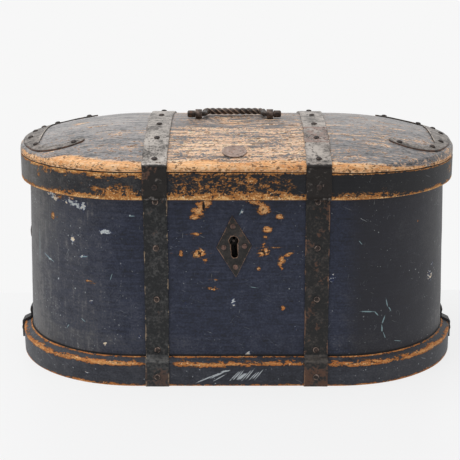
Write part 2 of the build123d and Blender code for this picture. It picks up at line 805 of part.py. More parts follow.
# Clips at the ends of the foot hoop
clip_line = [
    (wall_out(clip_top_level), clip_top_level),
    (wall_out(foot_hoop_height), foot_hoop_height),
    (foot_out, foot_shoulder_height),
    (foot_out, clip_bottom_level),
]
foot_clips = {}
clip_nails = []
for side, sign in sides.items():
    with BuildPart() as foot_clip:
        section = strap_section(end_plane(sign), clip_line, clip_stand_off[side], clip_thickness)
        extrude(section, amount=clip_width / 2, both=True)
        bore_nail_holes(clip_nail_places[side], nail_shank_diameter, clip_nail_length[side])
    foot_clip.part.label = "foot_clip_" + side
    foot_clips[side] = foot_clip.part
    clip_nail = make_nail(nail_head_diameter, nail_head_height, nail_shank_diameter, clip_nail_length[side])
    clip_nails.append(nail_group(clip_nail_places[side], clip_nail))
with BuildPart() as foot_clip_nails:
    add(clip_nails)
foot_clip_nails.part.label = "foot_clip_nails"

# Boss on the left end of the body
end_boss = nail_group([boss_place], make_nail(boss_diameter, boss_height, boss_shank_diameter, nail_bite))
end_boss.label = "end_boss"

# Disc on the front of the lid, the clinched end of an old fitting
disc_nail = make_nail(disc_diameter, disc_height, disc_shank_diameter, disc_shank_length)
lid_disc = nail_group([disc_place], disc_nail)
lid_disc.label = "lid_disc"

# Handle: two bent arms with knobbed ends, and a twisted square grip between them
grip_half = handle_span / 2 - handle_corner
grip_start = Plane(origin=(-grip_half, handle_arm_length, 0), z_dir=(1, 0, 0))
twisted_grip = Solid.extrude_linear_with_rotation(
    section=Face.make_rect(grip_side, grip_side, grip_start),
    center=grip_start.origin,
    normal=(2 * grip_half, 0, 0),
    angle=360 * grip_turns,
)
with BuildPart() as handle_bail:
    add(bail_plane.from_local_coords(twisted_grip))
    for sign in sides.values():
        knob_start = abs(eye_places["right"] - handle_shift) + eye_width / 2 + knob_side_gap
        with BuildLine(bail_plane) as arm_line:
            FilletPolyline(
                (sign * (knob_start + knob_length / 2), 0),
                (sign * handle_span / 2, 0),
                (sign * handle_span / 2, handle_arm_length),
                (sign * (grip_half - grip_side / 2), handle_arm_length),
                radius=(handle_bend, handle_corner),
            )
        with BuildSketch(Plane(origin=arm_line.line @ 0, z_dir=arm_line.line % 0)):
            Circle(handle_bar_radius)
        sweep(path=arm_line.line)
        knob_plane = Plane(origin=bail_plane.from_local_coords((sign * knob_start, 0, 0)), z_dir=(sign, 0, 0))
        with BuildSketch(knob_plane):
            Circle(knob_diameter / 2)
        extrude(amount=knob_length)
        knob_rims = handle_bail.edges().filter_by(GeomType.CIRCLE).sort_by(Axis.X)
        outer_rim = knob_rims[0] if sign < 0 else knob_rims[-1]
        fillet(outer_rim, radius=knob_round)
handle_bail.part.label = "handle_bail"

# Eye staples that carry the handle
handle_staples = {}
for side, eye_x in eye_places.items():
    with BuildPart() as handle_staple:
        with BuildSketch(Plane.YZ.offset(eye_x)):
            with Locations((0, pivot_level)):
                Circle(eye_outer)
        extrude(amount=eye_width / 2, both=True)
        shank_top = pivot_level - (eye_bore + eye_outer) / 2
        with BuildSketch(Plane.XY.offset(ridge_level - eye_shank_length)):
            with Locations((eye_x, 0)):
                Circle(eye_shank_diameter / 2)
        extrude(amount=shank_top - ridge_level + eye_shank_length)
        with BuildSketch(Plane.YZ.offset(eye_x)):
            with Locations((0, pivot_level)):
                Circle(eye_bore)
        extrude(amount=eye_width, both=True, mode=Mode.SUBTRACT)
    handle_staple.part.label = "handle_staple_" + side
    handle_staples[side] = handle_staple.part

# Lock plate, set a little askew on the front
with BuildPart() as escutcheon:
    with BuildSketch(askew_lock_plane(0, 0, lock_lift)):
        with BuildLine():
            Polyline(
                (0, -plate_height / 2),
                (plate_width / 2, 0),
                (0, plate_height / 2),
                (-plate_width / 2, 0),
                close=True,
            )
        make_face()
    extrude(amount=lock_plate_thickness)
    extrude(keyhole(lock_lift, 0), amount=2 * lock_plate_thickness, mode=Mode.SUBTRACT)
    bore_nail_holes(escutcheon_nail_places, small_nail_shank_diameter, lock_nail_length)
escutcheon.part.label = "escutcheon"

escutcheon_nail = make_nail(
    small_nail_head_diameter, small_nail_head_height, small_nail_shank_diameter, lock_nail_length
)
escutcheon_nails = nail_group(escutcheon_nail_places, escutcheon_nail)
escutcheon_nails.label = "escutcheon_nails"

# Lock case: a sheet-iron box, open towards the wall, with a rib that guides the bolt
case_height = case_top_rise + case_bottom_drop
case_middle = (case_top_rise - case_bottom_drop) / 2
with BuildPart() as lock_case:
    with BuildSketch(lock_plane(-case_depth_start)):
        with Locations((0, case_middle)):
            Rectangle(case_width, case_height)
    extrude(amount=-case_depth)
    with BuildSketch(lock_plane(-case_depth_start)):
        with Locations((0, case_middle)):
            Rectangle(case_width - 2 * case_sheet, case_height - 2 * case_sheet)
    extrude(amount=case_sheet - case_depth, mode=Mode.SUBTRACT)
    with BuildSketch(lock_plane(-case_depth_start)):
        with Locations((-rib_offset, case_top_rise - rib_height / 2)):
            Rectangle(case_sheet, rib_height)
    extrude(amount=case_sheet / 2 - case_depth)
    with BuildSketch(lock_plane(-case_depth_start)):
        for sign in (-1, 1):
            with Locations((sign * (case_width + case_flange) / 2, case_middle)):
                Rectangle(case_flange, case_height)
    extrude(amount=-case_sheet)
    with BuildSketch(Plane.YZ.offset(lock_shift - case_width)):
        with Locations((-tongue_out, lock_level + bolt_rise)):
            Rectangle(bolt_width + 2 * bolt_running_gap, bolt_height + 2 * bolt_running_gap)
    extrude(amount=case_width - rib_offset + case_sheet, mode=Mode.SUBTRACT)
    with BuildSketch(Plane.XY.offset(lock_level + case_top_rise)):
        with Locations((lock_shift, -tongue_out)):
            Rectangle(tongue_slot_length, tongue_width + 2 * tongue_slot_depth_gap)
    extrude(amount=2 * case_sheet, both=True, mode=Mode.SUBTRACT)
    bore_nail_holes(case_nail_places, small_nail_shank_diameter, case_nail_length)
lock_case.part.label = "lock_case"

case_nail = make_nail(
    small_nail_head_diameter, small_nail_head_height, small_nail_shank_diameter, case_nail_length
)
lock_case_nails = nail_group(case_nail_places, case_nail)
lock_case_nails.label = "lock_case_nails"

# Lock bolt, drawn back at rest so that the lid is free
bolt_nose = lock_shift - tongue_thickness / 2 - bolt_nose_gap
bolt_tail = lock_shift - case_width / 2 - bolt_travel - bolt_tail_margin
with BuildPart() as lock_bolt:
    with BuildSketch(Plane.YZ.offset(bolt_nose)):
        with Locations((-tongue_out, lock_level + bolt_rise)):
            Rectangle(bolt_width, bolt_height)
    extrude(amount=bolt_tail - bolt_nose)
lock_bolt.part.label = "lock_bolt"

# Leaf spring over the bolt
spring_level = lock_level + bolt_rise + bolt_height / 2 + bolt_running_gap
with BuildPart() as lock_spring:
    with BuildSketch(Plane.XY.offset(spring_level)):
        with Locations((lock_shift - spring_start - spring_length / 2, -tongue_out)):
            Rectangle(spring_length, bolt_width)
    extrude(amount=spring_thickness)
lock_spring.part.label = "lock_spring"

# Pin in the keyhole that the key turns on
key_pin_start = case_depth_start + case_depth - case_sheet - fit_gap
with BuildPart() as key_pin:
    with BuildSketch(askew_lock_plane(0, 0, -key_pin_start)):
        with Locations((0, keyhole_round_rise)):
            Circle(key_pin_diameter / 2)
    extrude(amount=key_pin_start + lock_lift + lock_plate_thickness - key_pin_recess)
key_pin.part.label = "key_pin"

# Staple under the lid board: a plate with a tongue that reaches down into the lock
with BuildPart() as lid_staple:
    with BuildSketch(Plane.XY.offset(staple_bottom)):
        with Locations((lock_shift, -tongue_out)):
            Rectangle(staple_length, staple_width)
    extrude(amount=staple_thickness)
    tongue_bottom = lock_level + bolt_rise - bolt_height / 2 - tongue_eye_gap - tongue_foot
    with BuildSketch(Plane.YZ.offset(lock_shift)):
        with Locations((-tongue_out, (tongue_bottom + staple_bottom) / 2)):
            Rectangle(tongue_width, staple_bottom - tongue_bottom)
        with Locations((-tongue_out, lock_level + bolt_rise)):
            Rectangle(bolt_width + 2 * tongue_eye_gap, bolt_height + 2 * tongue_eye_gap, mode=Mode.SUBTRACT)
    extrude(amount=tongue_thickness / 2, both=True)
    bore_nail_holes(staple_nail_places, small_nail_shank_diameter, staple_nail_length)
lid_staple.part.label = "lid_staple"

staple_nail = make_nail(
    small_nail_head_diameter, small_nail_head_height, small_nail_shank_diameter, staple_nail_length
)
lid_staple_nails = nail_group(staple_nail_places, staple_nail)
lid_staple_nails.label = "lid_staple_nails"

# Write one file for each sub-part
pieces = [
    body_wall.part,
    bottom_board.part,
    bottom_pegs.part,
    foot_hoop.part,
    lid_hoop.part,
    lid_board.part,
    lid_dowels.part,
    front_strap_nails,
    back_strap_nails,
    lid_strap_nails,
    end_plate_nails,
    foot_clip_nails.part,
    end_boss,
    lid_disc,
    handle_bail.part,
    escutcheon.part,
    escutcheon_nails,
    lock_case.part,
    lock_case_nails,
    lock_bolt.part,
    lock_spring.part,
    key_pin.part,
    lid_staple.part,
    lid_staple_nails,
]
for family in (front_straps, back_straps, lid_straps, hinge_pins, end_plates, foot_clips, handle_staples):
    pieces.extend(family.values())
os.makedirs("parts", exist_ok=True)
for piece in pieces:
    export_step(piece, "parts/" + piece.label + ".step")
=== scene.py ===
import json
import logging
import math
from dataclasses import dataclass
from enum import Enum
from typing import Any, Iterable

import bmesh
import bpy
import numpy as np
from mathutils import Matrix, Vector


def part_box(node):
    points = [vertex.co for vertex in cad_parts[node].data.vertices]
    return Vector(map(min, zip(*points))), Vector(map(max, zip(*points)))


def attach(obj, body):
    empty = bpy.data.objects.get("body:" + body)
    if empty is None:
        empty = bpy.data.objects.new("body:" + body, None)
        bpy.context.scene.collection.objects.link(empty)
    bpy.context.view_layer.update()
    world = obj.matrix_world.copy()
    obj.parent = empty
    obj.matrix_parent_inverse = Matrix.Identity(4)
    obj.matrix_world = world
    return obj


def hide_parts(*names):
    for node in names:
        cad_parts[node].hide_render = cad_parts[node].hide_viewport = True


Array = np.ndarray
Material = bpy.types.Material
Colour = tuple[float, float, float]
log = logging.getLogger("travel_chest")

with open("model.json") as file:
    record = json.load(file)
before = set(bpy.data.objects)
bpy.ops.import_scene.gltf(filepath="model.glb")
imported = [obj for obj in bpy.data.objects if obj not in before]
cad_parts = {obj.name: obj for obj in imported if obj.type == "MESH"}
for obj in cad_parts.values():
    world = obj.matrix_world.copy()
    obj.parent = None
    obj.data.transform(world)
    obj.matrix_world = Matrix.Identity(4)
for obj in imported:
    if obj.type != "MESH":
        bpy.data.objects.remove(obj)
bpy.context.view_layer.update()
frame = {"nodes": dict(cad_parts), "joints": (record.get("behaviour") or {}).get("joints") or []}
MM = 0.001
WELD = 0.002 * MM
SHARP_ANGLE = math.radians(50)
NOISE_GAIN = 3.6
# Near-black painted shade for the joints between parts and for holes.
GAP_SHADE: Colour = (0.006, 0.005, 0.005)
RIGHT_ANGLE = math.pi / 2
FULL_TURN = 2 * math.pi


class Side(Enum):
    """The two sides of the chest, with the sign of x on each."""

    LEFT = -1
    RIGHT = 1

    @property
    def word(self) -> str:
        """The side's name as the nodes' names spell it."""
        return self.name.lower()


class Body(Enum):
    """The moving bodies that new pieces ride on."""

    CHEST = "chest"
    LID = "lid"
    HANDLE = "handle"


def rise(low: float, high: float, value: Array) -> Array:
    """A rise from 0 at low to 1 at high, with level ends: three t squared less two t cubed."""
    t = np.clip((value - low) / (high - low), 0.0, 1.0)
    return t * t * (3.0 - 2.0 * t)


def bell(value: Array, middle: float, width: Array | float) -> Array:
    """A bell, 1 at its middle: e to the power of minus the squared distance over the width."""
    return np.exp(-(((value - middle) / width) ** 2))


def unit(vectors: Array) -> Array:
    """Vectors divided by their own lengths."""
    return vectors / np.linalg.norm(vectors, axis=-1, keepdims=True)


def joined(*parts: Array) -> Array:
    """Several numbers at each place as one point, spread over each other's places."""
    return np.stack(np.broadcast_arrays(*parts), axis=-1)


def ripple(points: Array, wavelength: float, seed: int, waves: int = 7) -> Array:
    """Smooth unevenness over space: the mean of several sines, each along a direction of its own.

    Args:
        points: places, with two or three coordinates in the last axis.
        wavelength: the usual distance between two crests.
        seed: picks the directions and phases, the same each run.
        waves: how many sines.

    Returns:
        One number for each place, mostly between -1 and 1.
    """
    draw = np.random.default_rng(seed)
    directions = unit(draw.normal(size=(waves, points.shape[-1])))
    rates = FULL_TURN / (wavelength * draw.uniform(0.6, 1.7, waves))
    phases = draw.uniform(0.0, FULL_TURN, waves)
    return np.sin(points @ (directions * rates[:, None]).T + phases).sum(axis=-1) / math.sqrt(waves)


def round_corners(points: Iterable, radii: Iterable[float], steps: int = 5) -> Array:
    """A line whose inner corners are cut by parabolas, each starting one radius before its corner.

    Args:
        points: the corners, one row each.
        radii: a distance for each inner corner.
        steps: points on each parabola.

    Returns:
        The points of the rounded line.
    """
    points = np.array(points, dtype=float)
    t = np.linspace(0.0, 1.0, steps)[:, None]
    line = [points[:1]]
    for before, corner, after, radius in zip(points[:-2], points[1:-1], points[2:], radii):
        start = corner + unit(before - corner) * radius
        end = corner + unit(after - corner) * radius
        line.append((1 - t) ** 2 * start + 2 * t * (1 - t) * corner + t**2 * end)
    return np.concatenate([*line, points[-1:]])


def refine(points: Array, spacing: float) -> Array:
    """The same line with more points, so that none is further than a spacing from the next.

    Args:
        points: the line's points, one row each.
        spacing: the largest step.

    Returns:
        The points of the finer line.
    """
    counts = np.maximum(1, np.ceil(np.linalg.norm(np.diff(points, axis=0), axis=1) / spacing)).astype(int)
    owner = np.repeat(np.arange(len(counts)), counts)
    step = np.arange(len(owner)) - np.repeat(np.cumsum(counts) - counts, counts)
    share = (step / counts[owner])[:, None]
    return np.concatenate([points[owner] * (1 - share) + points[owner + 1] * share, points[-1:]])


def running_length(points: Array) -> Array:
    """Length along a line up to each of its points."""
    return np.concatenate([[0.0], np.cumsum(np.linalg.norm(np.diff(points, axis=0), axis=1))])


def to_back(value: Array, run: Array, meeting: float) -> Array:
    """Values that differ between the ends, led to one value where both ways round meet at the back."""
    share = rise(0.40, 0.70, np.abs(run))
    return value * (1 - share) + meeting * share


@dataclass(frozen=True)
class Oval:
    """The oval that every bent piece follows: two straight sides and two half-round ends.

    A place on it is a run, the signed length from the middle of the front, measured one reach out from
    the oval's middle line, so that the right end has positive runs and the back middle is the seam.
    """

    half_straight: float = 120 * MM
    reach: float = 150 * MM
    joint_end_drop: float = 5.5 * MM
    left_share: float = 0.25

    @property
    def half_length(self) -> float:
        """Half the way round, from the front middle to the back middle."""
        return 2 * self.half_straight + math.pi * self.reach

    def runs(self, front_step: float, other_step: float, breaks: Iterable[float] = ()) -> Array:
        """Runs of the columns, closer on the front, each break exactly on a column.

        Args:
            front_step: step on the straight front.
            other_step: step elsewhere.
            breaks: further runs on the front that get a column.

        Returns:
            Rising runs from the back middle all the way round, without the last, which is the first.
        """
        h = self.half_straight
        corners = np.array([-self.half_length, -h, *breaks, h, self.half_length])
        pieces = []
        for start, end in zip(corners[:-1], corners[1:]):
            step = front_step if abs(start + end) < 2 * h else other_step
            pieces.append(np.linspace(start, end, max(1, round((end - start) / step)), endpoint=False))
        return np.concatenate(pieces)

    def place(self, run: Array, out: Array, level: Array) -> Array:
        """Points of the oval: the base on the middle line, plus the outward direction times the distance out.

        Args:
            run: places round the oval.
            out: distances out from the middle line.
            level: heights.

        Returns:
            Points, with x, y and z in the last axis.
        """
        h = self.half_straight
        side, far = np.where(run < 0, -1.0, 1.0), np.abs(run)
        past_end = np.maximum(far - h - math.pi * self.reach, 0.0)
        base = side * np.where(far <= h, far, np.maximum(h - past_end, -h))
        angle = np.clip((far - h) / self.reach, 0.0, math.pi)
        x, y = base + out * side * np.sin(angle), -out * np.cos(angle)
        return joined(x, y, level)

    def joint_drop(self, x: Array) -> Array:
        """How far the arched joint line lies below its crown: a circle's fall, and a share of it at the left.

        Args:
            x: places across the chest.

        Returns:
            Drops in metres.
        """
        half = self.half_straight + self.reach
        radius = (half**2 + self.joint_end_drop**2) / (2 * self.joint_end_drop)
        return (radius - np.sqrt(radius**2 - x**2)) * np.where(x < 0, self.left_share, 1.0)


@dataclass
class Surface:
    """Points with the faces between them, and what a finish reads at each point."""

    points: Array
    faces: Array
    marks: dict[str, Array]
    uv: Array | None = None
    uv_faces: Array | None = None

    @staticmethod
    def grid(points: Array, closed: bool, marks: dict[str, Array], uv: Array | None = None) -> "Surface":
        """A face between each four neighbours of rows and columns, where each row is a closed ring.

        Args:
            points: rows by columns by three.
            closed: whether the last row joins the first.
            marks: named numbers, rows by columns.
            uv: one row and one column more than the points.

        Returns:
            The surface, its faces in rising order of rows.
        """
        rows, columns = points.shape[:2]
        row = np.arange(rows if closed else rows - 1)[:, None]
        column = np.arange(columns)[None, :]
        corners = [(row, column), (row, column + 1), (row + 1, column + 1), (row + 1, column)]
        faces = joined(*((r % rows) * columns + c % columns for r, c in corners)).reshape(-1, 4)
        made = Surface(points.reshape(-1, 3), faces, {name: mark.reshape(-1) for name, mark in marks.items()})
        if uv is not None:
            made.uv = uv.reshape(-1, 2)
            made.uv_faces = joined(*(r * (columns + 1) + c for r, c in corners)).reshape(-1, 4)
        return made

    def piece(self, name: str, node: str, body: Body, slot: str, finishes: list[Material],
              finish_of_face: Array | None = None) -> None:
        """Make the mesh object: merge its poles, point its faces outward and hang it on its body.

        Args:
            name: the piece's name.
            node: the CAD node that it stands for.
            body: the body that it moves with.
            slot: the record's material slot; not used.
            finishes: its materials.
            finish_of_face: index of the material of each face.
        """
        mesh = bpy.data.meshes.new(name)
        mesh.vertices.add(len(self.points))
        mesh.vertices.foreach_set("co", self.points.astype(np.float32).ravel())
        mesh.loops.add(self.faces.size)
        mesh.loops.foreach_set("vertex_index", self.faces.astype(np.int32).ravel())
        mesh.polygons.add(len(self.faces))
        mesh.polygons.foreach_set("loop_start", np.arange(0, self.faces.size, 4, dtype=np.int32))
        mesh.polygons.foreach_set("use_smooth", np.ones(len(self.faces), bool))
        if finish_of_face is not None:
            mesh.polygons.foreach_set("material_index", finish_of_face.astype(np.int32))
        mesh.update(calc_edges=True)
        if self.uv is not None:
            layer = mesh.uv_layers.new(name="along_and_up")
            layer.uv.foreach_set("vector", self.uv[self.uv_faces].astype(np.float32).ravel())
        for mark, values in self.marks.items():
            attribute = mesh.attributes.new(mark, "FLOAT", "POINT")
            attribute.data.foreach_set("value", values.astype(np.float32))
        cleaned = bmesh.new()
        cleaned.from_mesh(mesh)
        bmesh.ops.remove_doubles(cleaned, verts=cleaned.verts, dist=WELD)
        bmesh.ops.recalc_face_normals(cleaned, faces=cleaned.faces)
        cleaned.to_mesh(mesh)
        cleaned.free()
        for finish in finishes:
            mesh.materials.append(finish)
        made = bpy.data.objects.new(name, mesh)
        bpy.context.scene.collection.objects.link(made)
        mesh.set_sharp_from_angle(angle=SHARP_ANGLE)
        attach(made, body.value)
        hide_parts(node)
        log.info("piece %s: %d faces", name, len(mesh.polygons))


class Value:
    """A number that varies over a surface, so that shader sums read as Python sums."""

    def __init__(self, finish: "Finish", socket: bpy.types.NodeSocket) -> None:
        """Wrap an output socket of a finish's nodes."""
        self.finish = finish
        self.socket = socket

    def _sum(self, operation: str, first: Any, second: Any) -> "Value":
        """A Math node on two values or numbers."""
        return self.finish.output("ShaderNodeMath", {"operation": operation}, {0: first, 1: second})

    def __add__(self, other: "Value | float") -> "Value":
        """This plus another."""
        return self._sum("ADD", self, other)

    __radd__ = __add__

    def __sub__(self, other: "Value | float") -> "Value":
        """This less another."""
        return self._sum("SUBTRACT", self, other)

    def __rsub__(self, other: float) -> "Value":
        """A number less this."""
        return self._sum("SUBTRACT", other, self)

    def __mul__(self, other: "Value | float") -> "Value":
        """This times another."""
        return self._sum("MULTIPLY", self, other)

    __rmul__ = __mul__

    def most(self, other: "Value | float") -> "Value":
        """The larger of this and another."""
        return self._sum("MAXIMUM", self, other)

    def rise(self, low: float, high: float) -> "Value":
        """A smooth rise from 0 at low to 1 at high."""
        sockets = {"Value": self, "From Min": low, "From Max": high}
        return self.finish.output("ShaderNodeMapRange", {"interpolation_type": "SMOOTHSTEP"}, sockets)


class Finish:
    """A material under construction, with the patterns that the chest's finishes share."""

    def __init__(self, name: str, source: str = "Object", holder: Any = None) -> None:
        """Start with an empty tree of nodes.

        Args:
            name: the material's name.
            source: the kind of coordinates that its patterns read.
            holder: what takes the nodes, where it isn't a new material.
        """
        self.material = holder or bpy.data.materials.new(name)
        self.material.use_nodes = True
        self.tree = self.material.node_tree
        self.tree.nodes.clear()
        self.place = self.output("ShaderNodeTexCoord", which=source)

    def node(self, kind: str, settings: dict[str, Any] | None = None,
             sockets: dict[Any, Any] | None = None) -> bpy.types.Node:
        """Any node, its settings first and then the values or links of its sockets.

        Args:
            kind: the node's type.
            settings: properties, or "stops" for a ramp as (place, colour) pairs.
            sockets: numbers, colours or Values by input name or index.

        Returns:
            The node.
        """
        made = self.tree.nodes.new(kind)
        for name, value in (settings or {}).items():
            if name == "stops":
                ramp = made.color_ramp.elements
                while len(ramp) < len(value):
                    ramp.new(0.5)
                for stop, (place, colour) in zip(ramp, value):
                    stop.position = place
                    stop.color = (*colour, 1.0)
            else:
                setattr(made, name, value)
        for name, value in (sockets or {}).items():
            if isinstance(value, Value):
                self.tree.links.new(value.socket, made.inputs[name])
            elif isinstance(value, tuple) and made.inputs[name].type == "RGBA":
                made.inputs[name].default_value = (*value, 1.0)
            else:
                made.inputs[name].default_value = value
        return made

    def output(self, kind: str, settings: dict[str, Any] | None = None,
               sockets: dict[Any, Any] | None = None, which: str | int = 0) -> Value:
        """One output of a new node, by its name or index; the rest is as for node."""
        return Value(self, self.node(kind, settings, sockets).outputs[which])

    def noise(self, stretch: float | Colour, detail: float = 4.0, roughness: float = 0.55,
              distortion: float = 0.0, turn: float = 0.0) -> Value:
        """Noise centred on zero, mostly between -1 and 1.

        Args:
            stretch: cells per metre, one number or one for each axis.
            detail: octaves.
            roughness: strength of the finer octaves.
            distortion: how far the pattern folds.
            turn: degrees about z, before the stretch.

        Returns:
            The centred noise.
        """
        where = self.place
        if turn:
            turning = {"Vector": where, "Rotation": (0.0, 0.0, math.radians(turn))}
            where = self.output("ShaderNodeMapping", None, turning)
        if isinstance(stretch, tuple):
            where = self.output("ShaderNodeVectorMath", {"operation": "MULTIPLY"}, {0: where, 1: stretch})
            stretch = 1.0
        sockets = {"Vector": where, "Scale": stretch, "Detail": detail, "Roughness": roughness,
                   "Distortion": distortion}
        return (self.output("ShaderNodeTexNoise", None, sockets, "Fac") - 0.5) * NOISE_GAIN

    def mark(self, name: str) -> Value:
        """A named number of the mesh's points."""
        return self.output("ShaderNodeAttribute", {"attribute_name": name}, None, "Fac")

    def mix(self, first: Any, second: Any, share: Value | float) -> Value:
        """A colour between two, at a share of the second."""
        settings = {"data_type": "RGBA", "clamp_factor": True}
        return self.output("ShaderNodeMix", settings, {0: share, 6: first, 7: second}, 2)

    def ramp(self, value: Value, stops: list[tuple[float, Colour]]) -> Value:
        """Colours along a value, where 0 is the first stop and 1 the last."""
        return self.output("ShaderNodeValToRGB", {"stops": stops}, {0: value})

    def show(self, shown: Value, kind: str = "ShaderNodeOutputMaterial") -> None:
        """Send a shader to the output, in place of one that was sent before."""
        old = [node for node in self.tree.nodes if node.bl_idname == kind]
        self.tree.links.new(shown.socket, (old or [self.node(kind)])[0].inputs[0])

    def finished(self, colour: Value, roughness: Value | float, height: Value, depth: float,
                 metallic: Value | float = 0.0, specular: float = 0.4) -> Material:
        """Close the material: colour, gloss and relief on one surface shader.

        Args:
            colour: base colour.
            roughness: gloss, from 0 to 1.
            height: relief, where 1 stands one depth above 0.
            depth: metres.
            metallic: share of bare metal.
            specular: level of the plain reflection.

        Returns:
            The finished material.
        """
        relief = {"Strength": 1.0, "Distance": depth, "Height": height}
        sockets = {"Base Color": colour, "Roughness": roughness, "Metallic": metallic,
                   "Specular IOR Level": specular, "Normal": self.output("ShaderNodeBump", None, relief)}
        self.show(self.output("ShaderNodeBsdfPrincipled", None, sockets))
        return self.material


@dataclass(frozen=True)
class Stroke:
    """A thin scrape: middle along the run and up the section, length and width in mm, tilt in degrees."""

    run: float
    up: float
    length: float
    width: float
    tilt: float

    def mask(self, f: Finish) -> Value:
        """1 in the middle of an oval laid along the scrape, 0 at its rim and less outside.

        Args:
            f: the finish that reads it.

        Returns:
            The mask.
        """
        sockets = {"Vector": f.place, "Location": (self.run * MM, self.up * MM, 0.0),
                   "Rotation": (0.0, 0.0, math.radians(self.tilt)),
                   "Scale": (self.length * MM / 2, self.width * MM / 2, 1.0)}
        own = f.output("ShaderNodeMapping", {"vector_type": "TEXTURE"}, sockets)
        return 1.0 - f.output("ShaderNodeVectorMath", {"operation": "LENGTH"}, {0: own}, "Value")


@dataclass(frozen=True)
class BentPaint:
    """Old dark blue paint on bent pine, worn through brown to bare wood at edges and knocks."""

    name: str
    black: Colour = (0.007, 0.008, 0.011)
    deep: Colour = (0.017, 0.022, 0.044)
    lighter: Colour = (0.036, 0.044, 0.078)
    # Greys of paint fade, used with painted light and sheen at the ends, in the next two colours.
    faded: Colour = (0.088, 0.086, 0.084)
    haze_and_sheen: Colour = (0.150, 0.146, 0.148)
    # Darker blue-black for painted shade at the right end and the back.
    dull: Colour = (0.0165, 0.016, 0.0205)
    blue: Colour = (0.018, 0.040, 0.150)
    brown: Colour = (0.092, 0.042, 0.014)
    orange: Colour = (0.50, 0.185, 0.045)
    tan: Colour = (0.82, 0.47, 0.20)
    cream: Colour = (0.93, 0.72, 0.44)
    chalk: Colour = (0.56, 0.60, 0.60)
    tone: float = 0.42
    scratch_gain: float = 1.0
    speck_low: float = 1.05
    freshness: float = 0.0
    tear_gain: float = 0.34
    crumb_gain: float = 0.26
    strokes: tuple[Stroke, ...] = ()
    stroke_colour: Colour = (0.34, 0.50, 0.53)

    def material(self) -> Material:
        """Build the finish from its marks (wear, chalk, paint fade with painted light and sheen at the ends,
        painted shade at the right end, the back, the joints and holes) and the piece's own UV map.

        Returns:
            The material.
        """
        f = Finish(self.name, "UV")
        grain = f.noise((26.0, 340.0, 1.0), 3.0, 0.6)
        bits = f.noise((190.0, 330.0, 1.0), 2.0, 0.6)
        tears = f.noise((55.0, 280.0, 1.0), 2.0, 0.6)
        upright = f.noise((290.0, 16.0, 1.0), 3.0, 0.6)
        cloud = f.noise(9.0, 3.0, 0.5)
        mottle = f.noise(70.0, 4.0, 0.7)
        patch = f.noise(100.0, 3.0, 0.65, 0.6)
        crumb = f.noise(420.0, 2.0, 0.6)
        ragged = patch * 0.44 + bits * 0.46 + tears * self.tear_gain + crumb * self.crumb_gain
        marked, fade_and_light, chalk_mark = f.mark("wear"), f.mark("faded"), f.mark("chalk")
        specks = f.noise(250.0, 2.0, 0.6).rise(self.speck_low, self.speck_low + 0.12)
        wear = (marked + ragged * marked.rise(0.04, 0.45)).most(specks * 0.66)
        thin = wear.rise(0.28, 0.46)
        bare = wear.rise(0.50, 0.57)
        fresh_wood = (wear + grain * 0.3 + crumb * 0.2 + self.freshness).rise(0.62, 1.15)
        tone = mottle * 0.26 + grain * 0.22 + crumb * 0.24 + bits * 0.16 + cloud * 0.12 + self.tone
        # Lighter towards the ends: paint fade together with painted light on the left end and painted sheen
        # on both.
        tone = tone + fade_and_light.most(0.0) * 0.30
        paint = f.ramp(tone, [(0.0, self.black), (0.42, self.deep), (0.78, self.lighter), (1.0, self.faded)])
        # Darker at the right end and the back: painted shade.
        paint = f.mix(paint, self.dull, (f.mark("dull") + mottle * 0.2).rise(0.1, 0.9) * 0.85)
        # Greyer haze towards the ends: paint fade plus painted sheen.
        dust_and_light = (fade_and_light + cloud * 0.20 + mottle * 0.18 + crumb * 0.22).rise(0.1, 1.1)
        haze_and_sheen_share = (fade_and_light - 0.52 + mottle * 0.34 + bits * 0.25 + upright * 0.42).rise(0.0, 0.6)
        paint = f.mix(f.mix(paint, self.faded, dust_and_light), self.haze_and_sheen, haze_and_sheen_share * 0.85)
        scratches = (((42.0, 700.0, 1.0), 24.0, 0.68), ((700.0, 50.0, 1.0), 10.0, 0.74),
                     ((40.0, 700.0, 1.0), -58.0, 0.74))
        lines = [f.noise(stretch, 2.0, 0.5, turn=turn).rise(low, low + 0.2)
                 for stretch, turn, low in scratches]
        flecks = (f.noise(330.0, 1.0, 0.4) + fade_and_light.most(0.0) * 0.32).rise(0.86, 1.04)
        somewhere = (f.noise(21.0, 3.0) + 0.35).rise(0.0, 0.9)
        scratched = (lines[0] + lines[1] + lines[2]) * 0.42 + flecks * 0.85
        paint = f.mix(paint, self.chalk, scratched * somewhere * self.scratch_gain * 0.7)
        wood = f.mix(self.orange, self.tan, fresh_wood)
        wood = f.mix(wood, self.cream, (crumb * 0.8 + grain * 0.5 - bits * 0.5).rise(0.25, 0.80) * 0.75)
        stained = (grain * 0.6 + bits * 0.9 + crumb * 0.7 + patch * 0.3).rise(0.25, 0.80)
        wood = f.mix(wood, self.brown, stained * 0.85)
        colour = f.mix(f.mix(paint, self.brown, thin * 0.9), wood, bare)
        older = (chalk_mark + patch * 0.2 + bits * 0.2) * chalk_mark.rise(0.02, 0.2)
        colour = f.mix(colour, self.blue, older.rise(0.26, 0.46) * 0.35)
        chalky = chalk_mark + (bits * 0.45 + patch * 0.30 + crumb * 0.2) * chalk_mark.rise(0.02, 0.3)
        chalky = chalky.rise(0.48, 0.60)
        white = f.mix(self.chalk, self.cream, (patch + cloud * 0.5).rise(0.10, 0.50) * 0.7)
        colour = f.mix(colour, white, chalky * 0.95)
        if self.strokes:
            masks = [stroke.mask(f) for stroke in self.strokes]
            scraped = masks[0]
            for mask in masks[1:]:
                scraped = scraped.most(mask)
            scraped = (scraped + bits * 0.18 + crumb * 0.22).rise(0.05, 0.45)
            colour = f.mix(colour, self.stroke_colour, scraped * 0.62)
